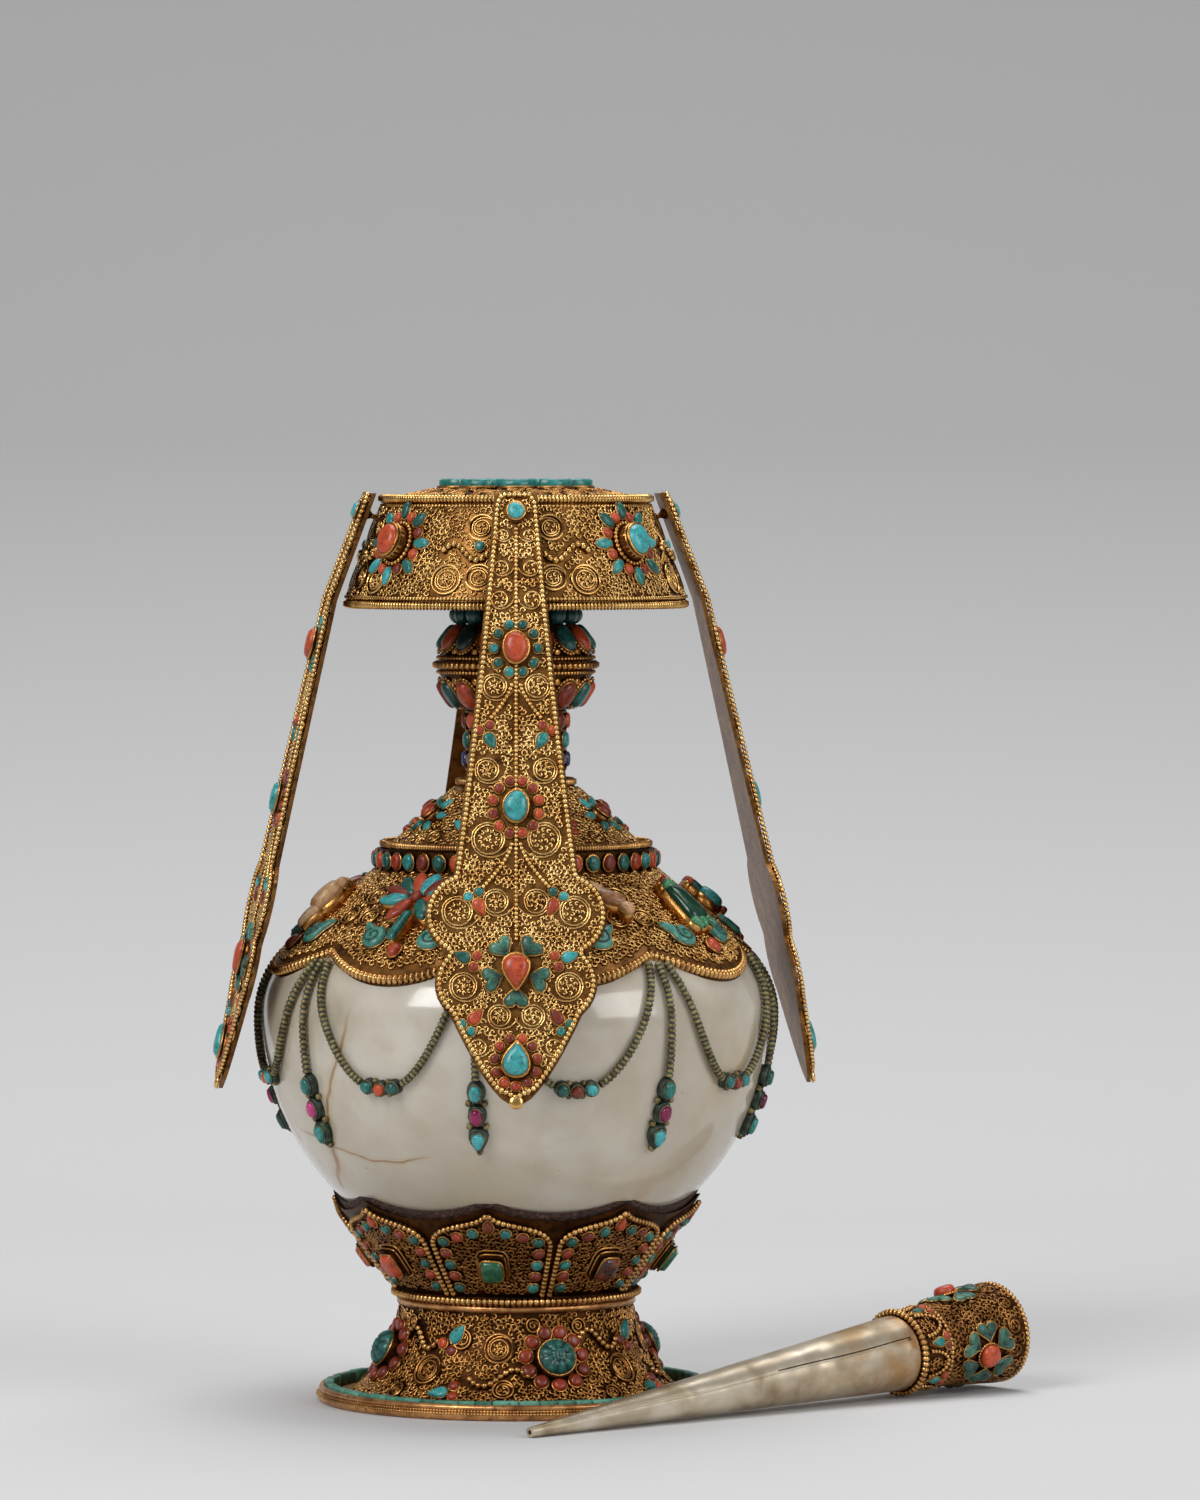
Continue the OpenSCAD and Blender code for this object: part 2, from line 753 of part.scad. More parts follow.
module emblem_stones() {
    color([0.62, 0.50, 0.36])
        for (i = [0:petals - 1])
            on_surface(lobe_az + 45 * i, emblem_r, cape_at(emblem_r), slope_deg)
                translate([0, 0, emblem_collet_h + seat])
                    linear_extrude(height = emblem_t) {
                        if (i == 0) emblem_fish();
                        if (i == 1) emblem_banner();
                        if (i == 2) emblem_vase();
                        if (i == 3) emblem_wheel();
                        if (i == 4) emblem_knot();
                        if (i == 5) emblem_parasol();
                        if (i == 6) emblem_conch();
                        if (i == 7) emblem_lotus();
                    }
}

// Comma-shaped cloud: round head and a drawn-out tail
module cloud() {
    circle(2.7);
    translate([-2.2, 1.6])
        circle(2);
    polygon([[-1.5, -2.2], [2.6, -0.6], [7.6, 1.4], [2, 2.2]]);
}

module cape_turquoises() {
    r = lobe_r - 9.5;
    color(turquoise)
        for (i = [0:petals - 1], m = [0, 1])
            on_surface(lobe_az + 45 * i + (m == 0 ? 8.6 : -8.6), r, cape_at(r), cape_lean(r))
                translate([0, 0, seat + 0.15])
                    mirror([m, 0, 0])
                        linear_extrude(height = 2.4)
                            cloud();
}

// Path of a swag's left half from its cusp to its jewelled bar
function swag_z_at(u) = swag_z + (cusp_z - swag_z) * pow(u, 2.3);
cusp_z = cape_at(cusp_r) - 5.2;
// Jewelled bar of a swag: its settings, their turn in degrees per mm and the bar's half length
setting_r = 2.1;
swag_stones = [-4.4, 0, 4.4];
swag_turn = 180 / PI / body_at(swag_z);
bar_half = swag_stones[2] + setting_r + 0.4;
pendant_rope_z = pendant_z + 24;

module festoon_ropes() {
    steps = 14;
    drop_steps = 9;
    h = rope_r + 0.25;
    u_end = bar_half * swag_turn / (petal_half - 2.6);
    color(patina)
        for (i = [0:petals - 1]) {
            cusp = petal_az + 45 * i;
            for (m = [-1, 1]) {
                path = [for (k = [0:steps])
                    let(u = 1 - (1 - u_end) * k / steps)
                    [cusp + m * (petal_half - (petal_half - 2.6) * u), swag_z_at(u)]];
                wire([for (p = path) polar(p[0], body_at(p[1]), p[1]) + h * outward(p[0], body_lean(p[1]))],
                    [for (p = path) outward(p[0], body_lean(p[1]))], rope_r);
            }
            drop_path = [for (k = [0:drop_steps])
                cusp_z - (cusp_z - pendant_rope_z) * k / drop_steps];
            wire([for (z = drop_path) polar(cusp, body_at(z), z) + h * outward(cusp, body_lean(z))],
                [for (z = drop_path) outward(cusp, body_lean(z))], rope_r);
        }
}

pendant_rows = [20.5, 13.5, 6.5];
setting_h = 2.2;

// Jewelled bars in the swags and three-stone drops under the pendants
module festoon_settings() {
    color(patina)
        for (i = [0:petals - 1]) {
            for (x = swag_stones)
                on_surface(lobe_az + 45 * i + x * swag_turn, body_at(swag_z), swag_z, body_lean(swag_z))
                    translate([0, 0, seat + 0.1])
                        cylinder(r = setting_r, h = setting_h);
            for (dz = pendant_rows)
                on_surface(petal_az + 45 * i, body_at(pendant_z + dz), pendant_z + dz,
                    body_lean(pendant_z + dz))
                    translate([0, 0, seat + 0.1])
                        linear_extrude(height = setting_h)
                            oval(5.2, 6.4);
        }
}

module festoon_stone(w, l) {
    translate([0, 0, setting_h + 2 * seat + 0.1])
        oval_stone(w, l, 1.8);
}

module festoon_turquoises() {
    color(turquoise)
        for (i = [0:petals - 1]) {
            for (x = [swag_stones[0], swag_stones[2]])
                on_surface(lobe_az + 45 * i + x * swag_turn, body_at(swag_z), swag_z, body_lean(swag_z))
                    festoon_stone(3.6, 3.6);
            for (dz = [pendant_rows[0], pendant_rows[2]])
                on_surface(petal_az + 45 * i, body_at(pendant_z + dz), pendant_z + dz,
                    body_lean(pendant_z + dz))
                    festoon_stone(4, 5.2);
        }
}

module festoon_corals() {
    color(coral)
        for (i = [0:petals - 1]) {
            on_surface(lobe_az + 45 * i, body_at(swag_z), swag_z, body_lean(swag_z))
                festoon_stone(3.6, 3.6);
            on_surface(petal_az + 45 * i, body_at(pendant_z + pendant_rows[1]),
                pendant_z + pendant_rows[1], body_lean(pendant_z + pendant_rows[1]))
                festoon_stone(4, 5.2);
        }
}

module gem_band() {
    color(gilt)
        translate([0, 0, gem_band_z])
            difference() {
                cylinder(r = gem_band_r, h = gem_band_h);
                translate([0, 0, -1])
                    cylinder(r = gem_band_r - 5, h = gem_band_h + 2);
            }
}

module band_row(first) {
    for (i = [first:2:band_stones - 1])
        on_surface(i * 360 / band_stones, gem_band_r, gem_band_z + gem_band_h * 0.58, 0)
            translate([0, 0, seat])
                cabochon(4.6, 2.2);
}

module band_turquoises() {
    color(turquoise)
        band_row(0);
}

module band_corals() {
    color(coral)
        band_row(1);
}

module neck_dome() {
    skin = 1.4;
    low = dome_z + seat;
    top = dome_z + dome_h;
    color(copper)
        rotate_extrude()
            polygon([[dome_low_r, low], [dome_top_r, top], [sleeve_r, top], [sleeve_r, top - skin],
                [dome_top_r - 1, top - skin], [dome_low_r - 1.8 * skin, low]]);
}

module dome_ropes() {
    color(gilt) {
        ring_wire(gem_band_r - 1.4, dome_wire_r, dome_z + dome_wire_r + seat);
        ring_wire(neck_r + 2.9, dome_wire_r, neck_z + dome_wire_r);
    }
}

module mouth_tube() {
    color(gilt)
        difference() {
            union() {
                translate([0, 0, tube_low_z])
                    cylinder(r = tube_r, h = tube_top_z - tube_low_z);
                translate([0, 0, mouth_z])
                    cylinder(r = flange_r, h = flange_t);
            }
            translate([0, 0, tube_low_z - 1])
                cylinder(r = mouth_r, h = tube_top_z - tube_low_z + 2);
        }
}

module sleeve(r, z, h) {
    translate([0, 0, z])
        difference() {
            cylinder(r = r, h = h);
            translate([0, 0, -1])
                cylinder(r = sleeve_r, h = h + 2);
        }
}

module lower_neck() {
    color(copper)
        sleeve(neck_r, neck_z, neck_h - seat);
}

module neck_row(z, shift) {
    for (i = [0:stones_per_row - 1])
        on_surface((i + shift) * 360 / stones_per_row, neck_r, neck_z + neck_h * z, 0)
            translate([0, 0, seat])
                cabochon(5, 2);
}

module neck_turquoises() {
    color(turquoise) {
        neck_row(0.6, 0.5);
        neck_row(0.35, 0);
    }
}

module neck_corals() {
    color(coral)
        neck_row(0.85, 0);
}

module knop() {
    color(copper)
        rotate_extrude()
            polygon([[sleeve_r, knop_z], [knop_low_r, knop_z], [knop_r, knop_belt_z - belt_half],
                [knop_r, knop_belt_z + belt_half], [knop_low_r, knop_top_z], [neck_r, knop_top_z],
                [neck_r, canopy_z + 1 - seat], [sleeve_r, canopy_z + 1 - seat]]);
}

module knop_rope() {
    color(gilt)
        ring_wire(knop_r + belt_wire_r + 0.1, belt_wire_r, knop_belt_z);
}

// One row of the knop's stones; up = 1 above the belt, -1 below
module knop_row(up, first) {
    end_z = up > 0 ? knop_top_z : knop_z;
    mid_z = (end_z + knop_belt_z + up * belt_half) / 2;
    mid_r = (knop_r + knop_low_r) / 2;
    lean = up * atan((knop_r - knop_low_r) / abs(end_z - knop_belt_z - up * belt_half));
    for (i = [first:2:knop_stones - 1])
        on_surface(i * 360 / knop_stones, mid_r, mid_z, lean)
            translate([0, 0, seat + 0.2])
                oval_stone(knop_stone[0], knop_stone[1], knop_stone[2]);
}

module knop_turquoises() {
    color(turquoise) {
        knop_row(1, 0);
        knop_row(-1, 1);
    }
}

module knop_corals() {
    color(coral) {
        knop_row(1, 1);
        knop_row(-1, 0);
    }
}

module collar_beads() {
    color(turquoise)
        for (i = [0:beads - 1])
            rotate([0, 0, i * 360 / beads])
                translate([0, -bead_ring_r, knop_top_z + bead_r + 0.3])
                    sphere(bead_r);
}

function wall_at(z) = canopy_low_r - (z - canopy_z) * wall_tan;

module canopy_floor() {
    floor_t = 1.2;
    low = canopy_z + 1;
    color(copper)
        translate([0, 0, low])
            difference() {
                cylinder(r = wall_at(low + floor_t) - canopy_t / cos(wall_lean) - 0.15, h = floor_t);
                translate([0, 0, -1])
                    cylinder(r = sleeve_r, h = floor_t + 2);
            }
}

module canopy_wall() {
    flat = canopy_t / cos(wall_lean);
    color(gilt)
        difference() {
            union() {
                rotate_extrude()
                    polygon([[canopy_low_r, canopy_z], [canopy_top_r, canopy_top_z],
                        [canopy_top_r - flat, canopy_top_z], [canopy_low_r - flat, canopy_z]]);
                for (az = flower_az)
                    on_surface(az, wall_at(flower_z), flower_z, wall_lean)
                        translate([0, 0, -canopy_t / 2])
                            linear_extrude(height = flower_collet_h + canopy_t / 2)
                                oval(flower_stone[0] + 1.6, flower_stone[1] + 1.6);
                for (az = lappet_az, m = [-1, 1], w = drum_whorls)
                    let(z = canopy_z + canopy_h * w[1])
                    on_surface(az + m * w[0], wall_at(z), z, wall_lean)
                        whorl(w[2], canopy_t);
            }
            for (az = lappet_az)
                on_surface(az, pin_wall_r, pin_z, wall_lean)
                    translate([0, 0, -canopy_t - 3])
                        cylinder(r = pin_r + run, h = canopy_t + 6);
        }
}

module canopy_top() {
    edge_r = canopy_top_r - canopy_t + 0.2;
    low = canopy_top_z + seat;
    color(copper)
        rotate_extrude()
            polygon([[edge_r, low], [edge_r, low + roof_t * 0.8], [rosette_r, roof_z + roof_t],
                [sleeve_r, roof_z + roof_t], [sleeve_r, roof_z], [rosette_r, roof_z]]);
}

module canopy_ropes() {
    color(gilt) {
        ring_wire(canopy_top_r - canopy_t + rim_rope_r + 0.3, rim_rope_r, canopy_top_z + rim_rope_r + seat);
        ring_wire(canopy_low_r - 0.2, rim_rope_r, canopy_z - rim_rope_r - seat);
    }
}

flower_leaves = 8;
leaf_ring = [9.2, 9.6];

module on_flower(k) {
    on_surface(flower_az[k], wall_at(flower_z), flower_z, wall_lean)
        children();
}

// Leaves and berries round a flower's middle stone
module canopy_leaves() {
    for (k = [0:3])
        on_flower(k)
            for (i = [0:flower_leaves - 1])
                rotate(i * 360 / flower_leaves)
                    translate([0, leaf_ring[0], seat + 0.25])
                        drop_stone(2.6, 4.6, 1.8);
}

module canopy_centre(first) {
    for (k = [first:2:3])
        on_flower(k)
            translate([0, 0, flower_collet_h + seat])
                oval_stone(flower_stone[0], flower_stone[1], flower_stone[2]);
}

module canopy_turquoises() {
    color(turquoise) {
        canopy_leaves();
        canopy_centre(0);
    }
}

module canopy_corals() {
    color(coral) {
        canopy_centre(1);
        for (k = [0:3])
            on_flower(k)
                for (i = [0:flower_leaves - 1])
                    rotate((i + 0.5) * 360 / flower_leaves)
                        translate([0, leaf_ring[1] - 1, seat + 0.25])
                            cabochon(3, 1.5);
    }
}

module top_rosette() {
    petal_x = rosette_r * 0.74;
    petal_r = rosette_r - petal_x;
    step = 360 / rosette_petals;
    per_petal = 10;
    edge = [for (i = [0:rosette_petals * per_petal - 1])
        let(a = (i % per_petal + 0.5) * step / per_petal - step / 2,
            r = petal_x * cos(a) + sqrt(petal_r * petal_r - pow(petal_x * sin(a), 2)),
            az = step * floor(i / per_petal) + a)
        [r * sin(az), -r * cos(az)]];
    color(turquoise)
        translate([0, 0, mouth_z])
            difference() {
                linear_extrude(height = rosette_h)
                    polygon(edge);
                translate([0, 0, -1])
                    cylinder(r = flange_r + fit, h = rosette_h + 2);
            }
}

// Stands children on a hanging plate: z out of its face, y up the plate
module on_lappet(k, x, s) {
    p = lappet_back(s);
    rotate([0, 0, lappet_az[k]])
        translate([x, -p[0], p[1]])
            rotate([90 - lappet_tau(s), 0, 0])
                children();
}

// Main stones down the plate: distance from the top, as shares of its length
row_s = [0.262, 0.519, 0.781, 0.928];
pair_s = [0.404, 0.672, 0.762, 0.862];
pair_x = [8.3, 11.5, 14.6, 13];
main_stone = [7, 9.4, 2.8];
main_collet_h = 1.6;
// Five petal stones round the third main stone: half width and height of their ring, and a stone
heart_ring = [7.4, 8.2];
heart_stone = [5.4, 5, 1.8];

module plate(k) {
    bend = (wall_lean + lappet_lean) / 2;
    miter = lappet_t / cos(wall_lean - bend);
    outline = [for (s = lappet_steps) if (s < lappet_len - 0.8) [lappet_w(s), lappet_back(s)[1]]];
    tip = lappet_back(lappet_len);
    sheet = [lappet_at(-1, 0), lappet_back(bend_s), lappet_at(lappet_len + 2, 0),
        lappet_at(lappet_len + 2, lappet_t),
        lappet_back(bend_s) + miter * [cos(bend), sin(bend)], lappet_at(-1, lappet_t)];
    color(gilt)
        union() {
            rotate([0, 0, lappet_az[k]])
                intersection() {
                    translate([0, -canopy_top_r + 6, 0])
                        rotate([90, 0, 0])
                            linear_extrude(height = 2 * body_r)
                                polygon(concat(outline, [[0, tip[1]]],
                                    [for (i = [len(outline) - 1:-1:0]) [-outline[i][0], outline[i][1]]]));
                    rotate([90, 0, -90])
                        linear_extrude(height = 4 * lappet_lobe_w, center = true)
                            polygon(sheet);
                }
            on_lappet(k, 0, pin_s) {
                translate([0, 0, -pin_in - pin_head[1]])
                    cylinder(r = pin_r, h = pin_in + pin_head[1] + lappet_t / 2);
                translate([0, 0, -pin_in - pin_head[1]])
                    cylinder(r = pin_head[0], h = pin_head[1]);
                translate([0, 0, -pin_flare[1]])
                    cylinder(r1 = pin_r, r2 = pin_flare[0], h = pin_flare[1] + 0.2);
                translate([0, 0, lappet_t / 2])
                    cylinder(r = stud_r + 0.8, h = stud_collet_h + lappet_t / 2);
            }
            for (u = row_s)
                on_lappet(k, 0, u * lappet_len)
                    translate([0, 0, lappet_t / 2])
                        linear_extrude(height = main_collet_h + lappet_t / 2)
                            oval(main_stone[0] + 1.4, main_stone[1] + 1.4);
        }
}

module border(k) {
    inset = border_r + 0.2;
    h = lappet_t + border_r + seat + 0.05;
    top = [for (x = [-0.6, 0, 0.6]) [x * lappet_top_w, inset]];
    down = [for (s = lappet_steps) if (s > 3 && s < lappet_len - 4)
        let(d = lappet_dw(s), n = unit([1, -d]))
        [lappet_w(s) - inset * n[0], s - inset * n[1]]];
    loop = concat(top, down, [[0, lappet_len - 3]],
        [for (i = [len(down) - 1:-1:0]) [-down[i][0], down[i][1]]]);
    color(gilt)
        rotate([0, 0, lappet_az[k]])
            wire([for (p = loop) let(q = lappet_at(p[1], h)) [p[0], -q[0], q[1]]],
                [for (p = loop) outward(0, lappet_tau(p[1]))], border_r, closed = true);
}

module on_face(k, x, s, h = 0) {
    on_lappet(k, x, s)
        translate([0, 0, lappet_t + h + seat])
            children();
}

// Ring of n beads round a main stone
module bead_ring(k, s, n, rx, ry) {
    for (i = [0:n - 1])
        on_face(k, rx * sin(360 * (i + 0.5) / n), s - ry * cos(360 * (i + 0.5) / n))
            cabochon(2.9, 1.5);
}

// Two beads and a drop: the little flowers along both edges
module pair_beads(k, i) {
    for (m = [-1, 1], b = [-1, 1])
        on_face(k, m * (pair_x[i] - 0.6 + b * 1.7), pair_s[i] * lappet_len - 2 - b * 0.6)
            cabochon(2.9, 1.5);
}

module pair_drops(k, i) {
    for (m = [-1, 1])
        on_face(k, m * (pair_x[i] - 0.4), pair_s[i] * lappet_len + 2.2)
            rotate(180)
                drop_stone(3, 4.6, 1.7);
}

module turquoises(k) {
    color(turquoise) {
        on_face(k, 0, pin_s, stud_collet_h)
            cabochon(2 * stud_r, 1.8);
        for (i = [1, 3])
            on_face(k, 0, row_s[i] * lappet_len, main_collet_h)
                oval_stone(main_stone[0], main_stone[1], main_stone[2]);
        bead_ring(k, row_s[0] * lappet_len, 10, 6.4, 7.4);
        for (a = [0:72:288])
            on_face(k, heart_ring[0] * sin(a), row_s[2] * lappet_len + heart_ring[1] * cos(a))
                rotate(a)
                    oval_stone(heart_stone[0], heart_stone[1], heart_stone[2]);
        pair_drops(k, 0);
        pair_beads(k, 1);
        pair_drops(k, 2);
        pair_beads(k, 3);
    }
}

module corals(k) {
    color(coral) {
        for (i = [0, 2])
            on_face(k, 0, row_s[i] * lappet_len, main_collet_h)
                oval_stone(main_stone[0], main_stone[1], main_stone[2]);
        bead_ring(k, row_s[1] * lappet_len, 12, 6.9, 7.9);
        bead_ring(k, row_s[3] * lappet_len, 11, 6.2, 7);
        pair_beads(k, 0);
        pair_drops(k, 1);
        pair_beads(k, 2);
        pair_drops(k, 3);
    }
}

module front_plate() { plate(0); }
module front_border() { border(0); }
module front_turquoises() { turquoises(0); }
module front_corals() { corals(0); }
module right_plate() { plate(1); }
module right_border() { border(1); }
module right_turquoises() { turquoises(1); }
module right_corals() { corals(1); }
module back_plate() { plate(2); }
module back_border() { border(2); }
module back_turquoises() { turquoises(2); }
module back_corals() { corals(2); }
module left_plate() { plate(3); }
module left_border() { border(3); }
module left_turquoises() { turquoises(3); }
module left_corals() { corals(3); }

// Sprinkler's own frame: z from its tip to its mouth, x downwards
module in_sprinkler() {
    translate(sprinkler_tip)
        rotate([0, 0, sprinkler_yaw])
            rotate([0, 90 - sprinkler_lift, 0])
                children();
}

module sprinkler_cone() {
    taper = (cone_r - tip_r) / cone_len;
    hollow = (cone_r - cone_wall - tip_hole_r) / taper;
    color(silver)
        in_sprinkler()
            difference() {
                cylinder(r1 = tip_r, r2 = cone_r, h = cone_len);
                translate([0, 0, cone_len - hollow])
                    cylinder(r1 = tip_hole_r, r2 = cone_r - cone_wall, h = hollow);
                translate([0, 0, cone_len - 1])
                    cylinder(r = cone_r - cone_wall, h = 2);
                translate([0, 0, -1])
                    cylinder(r = tip_hole_r, h = cone_len - 1);
            }
}

module sprinkler_collar() {
    skin = 1.2;
    low_r = cone_r + 0.1;
    waist = [low_r + 0.6, collar_s + collar_len * 0.35];
    top_s = collar_s + collar_len;
    low_s = cone_len - spigot_len;
    color(gilt)
        in_sprinkler()
            rotate_extrude()
                polygon([[spigot_r, low_s], [spigot_r, collar_s], [low_r, collar_s], waist,
                    [collar_r, top_s], [collar_r - skin, top_s], waist - [skin, 0],
                    [spigot_r - 1, collar_s + skin], [spigot_r - 1, low_s]]);
}

module sprinkler_ropes() {
    color(gilt)
        in_sprinkler() {
            ring_wire(seat_ring_r, seat_wire_r, seat_ring_s);
            ring_wire(collar_r - 0.5, 0.9, collar_s + collar_len + 0.9 + seat);
        }
}

module sprinkler_stones() {
    at = 0.62;
    mid_s = collar_s + collar_len * at;
    low_r = cone_r + 0.7;
    grow = (collar_r - low_r) / (collar_len * 0.65);
    r = low_r + grow * collar_len * (at - 0.35);
    color(coral)
        in_sprinkler()
            for (a = flower_turns)
                rotate([0, 0, a])
                    translate([r, 0, mid_s])
                        rotate([0, 90 + atan(grow), 0])
                            translate([0, 0, seat + 0.2]) {
                                cabochon(5, 2.6);
                                for (i = [0:5])
                                    rotate(i * 60)
                                        translate([0, 3.7, 0.45])
                                            drop_stone(2.2, 4, 1.4);
                            }
}

foot_plate();
plate_inlay_ring();
foot_cone();
foot_turquoises();
waist_rope();
lotus_cup();
petal_borders();
petal_stones();
pitch_bed();
crystal_body();
shoulder_cape();
cape_edge_wire();
emblem_stones();
cape_turquoises();
festoon_ropes();
festoon_settings();
festoon_turquoises();
festoon_corals();
gem_band();
band_turquoises();
band_corals();
neck_dome();
dome_ropes();
mouth_tube();
lower_neck();
neck_turquoises();
neck_corals();
knop();
knop_rope();
knop_turquoises();
knop_corals();
collar_beads();
canopy_floor();
canopy_wall();
canopy_top();
canopy_ropes();
canopy_turquoises();
canopy_corals();
top_rosette();
front_plate();
front_border();
front_turquoises();
front_corals();
right_plate();
right_border();
right_turquoises();
right_corals();
back_plate();
back_border();
back_turquoises();
back_corals();
left_plate();
left_border();
left_turquoises();
left_corals();
sprinkler_cone();
sprinkler_collar();
sprinkler_ropes();
sprinkler_stones();
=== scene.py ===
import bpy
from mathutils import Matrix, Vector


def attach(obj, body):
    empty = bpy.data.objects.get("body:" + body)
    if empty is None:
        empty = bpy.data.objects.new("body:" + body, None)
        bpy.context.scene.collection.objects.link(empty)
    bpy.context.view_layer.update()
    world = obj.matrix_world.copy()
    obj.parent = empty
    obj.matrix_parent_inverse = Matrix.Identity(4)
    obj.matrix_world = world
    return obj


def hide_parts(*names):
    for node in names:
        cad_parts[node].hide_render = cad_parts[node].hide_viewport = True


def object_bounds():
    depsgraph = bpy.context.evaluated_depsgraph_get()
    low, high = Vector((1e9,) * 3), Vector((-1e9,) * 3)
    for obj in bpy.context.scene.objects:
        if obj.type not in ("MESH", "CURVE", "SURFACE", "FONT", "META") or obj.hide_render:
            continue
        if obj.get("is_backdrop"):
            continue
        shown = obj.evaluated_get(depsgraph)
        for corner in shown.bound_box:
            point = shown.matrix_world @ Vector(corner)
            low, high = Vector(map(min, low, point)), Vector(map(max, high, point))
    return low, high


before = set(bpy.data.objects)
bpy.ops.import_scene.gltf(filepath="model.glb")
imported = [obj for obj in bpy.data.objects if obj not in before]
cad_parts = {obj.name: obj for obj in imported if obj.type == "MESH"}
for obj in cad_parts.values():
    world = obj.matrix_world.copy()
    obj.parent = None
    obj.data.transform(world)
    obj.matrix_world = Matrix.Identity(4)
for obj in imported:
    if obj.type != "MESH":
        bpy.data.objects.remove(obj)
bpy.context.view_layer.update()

from types import SimpleNamespace

import bpy
import numpy as np
from mathutils import Vector


# Foot plate: a shallow dish spun from gilt copper, its rim trimmed with two twisted wires.
# A ring of turquoise chips is bedded inside the rim, each chip ground to meet the next.
MM = 0.001
plate_r = 61.4
chip_count, chip_ring_r, chip_w, chip_low, chip_h = 58, 57.5, 2.6, 2.05, 3.5


def unit(v):
    """Vectors divided by their own lengths."""
    return v / np.linalg.norm(v, axis=-1, keepdims=True)


def polar(az, r, z):
    """Points at azimuth az, in degrees from the front towards the right, radius r and height z."""
    a = np.radians(az)
    return np.stack(np.broadcast_arrays(r * np.sin(a), -r * np.cos(a), z), -1).astype(float)


def tubes(path, normal, radius, sides=4, closed=False, tint=None, tall=1.0, skirt=1.0):
    """Wires. Each path point carries a ring: radius times tall times the cosine of the ring angle along the
    surface normal, plus radius times the sine along direction x normal, times skirt on the lower half. Quads
    cap the open ends. The tint, unless given, is high on top and low underneath, where gilding lays painted
    shade; a wide skirt shows that painted shade beside the wire."""
    path, normal = np.broadcast_arrays(path, normal)
    count, length = path.shape[:2]
    step = np.roll(path, -1, 1) - np.roll(path, 1, 1) if closed else np.gradient(path, axis=1)
    along = unit(step)
    out = unit(normal - (normal * along).sum(-1, keepdims=True) * along)
    side = np.cross(along, out)
    turn = 2 * np.pi * (np.arange(sides) + 0.5) / sides
    wide = np.broadcast_to(radius, (count, length))[..., None, None]
    sideways = np.sin(turn) * np.where(np.cos(turn) < 0, skirt, 1.0)
    ring = path[:, :, None] + wide * (tall * np.cos(turn)[:, None] * out[:, :, None]
                                      + sideways[:, None] * side[:, :, None])
    i = np.arange(length if closed else length - 1)[:, None]
    j = np.arange(sides)[None]
    here, there, onward = i * sides, (i + 1) % length * sides, (j + 1) % sides
    faces = np.stack([here + j, here + onward, there + onward, there + j], -1).reshape(-1, 4)
    if not closed:
        c = np.arange(sides // 2 - 1)
        last = (length - 1) * sides
        faces = np.concatenate([faces,
                                np.stack([c, sides - 1 - c, sides - 2 - c, c + 1], -1),
                                last + np.stack([c, c + 1, sides - 2 - c, sides - 1 - c], -1)])
    faces = (faces[None] + (np.arange(count) * length * sides)[:, None, None]).reshape(-1, 4)
    if tint is None:
        # High on the top, low underneath: gilding paints shade where the tint is low.
        tint = 0.5 + 0.5 * np.cos(turn)
    return ring, [faces], np.broadcast_to(tint, ring.shape[:3])


def pearled(path, normal, radius, pitch, waist=0.5, sides=6, closed=False):
    """Pearled wire: the path is re-spaced evenly with four rings to a pearl, and the radius swells
    with the root of the sine of the pearl angle; tint is low in the grooves and high on the pearls."""
    if closed:
        path, normal = np.concatenate([path, path[:1]]), np.concatenate([normal, normal[:1]])
    run = np.concatenate([[0], np.cumsum(np.linalg.norm(np.diff(path, axis=0), axis=-1))])
    pearls = max(3, int(round(run[-1] / pitch)))
    phase = np.arange(pearls * 4 + (0 if closed else 1)) / 4
    at = phase / pearls * run[-1]
    path = np.stack([np.interp(at, run, path[:, k]) for k in range(3)], -1)[None]
    normal = np.stack([np.interp(at, run, normal[:, k]) for k in range(3)], -1)[None]
    swell = np.abs(np.sin(np.pi * phase)) ** 0.6
    return tubes(path, normal, radius * (waist + (1 - waist) * swell), sides, closed,
                 swell[None, :, None])


def hoop(ring_r, z, radius, pitch, waist=0.5, sides=6):
    """Pearled wire bent into a level ring: a circle of 240 points whose normals point outwards."""
    az = np.arange(240) * 1.5
    return pearled(polar(az, ring_r, z), polar(az, 1, 0), radius, pitch, waist, sides, closed=True)


def ring_quads(rings, corners):
    """Quads that join rings of points, each ring to the next."""
    i, j = np.arange(rings - 1)[:, None] * corners, np.arange(corners)[None]
    on = (j + 1) % corners
    return np.stack([i + j, i + on, i + corners + on, i + corners + j], -1).reshape(-1, 4)


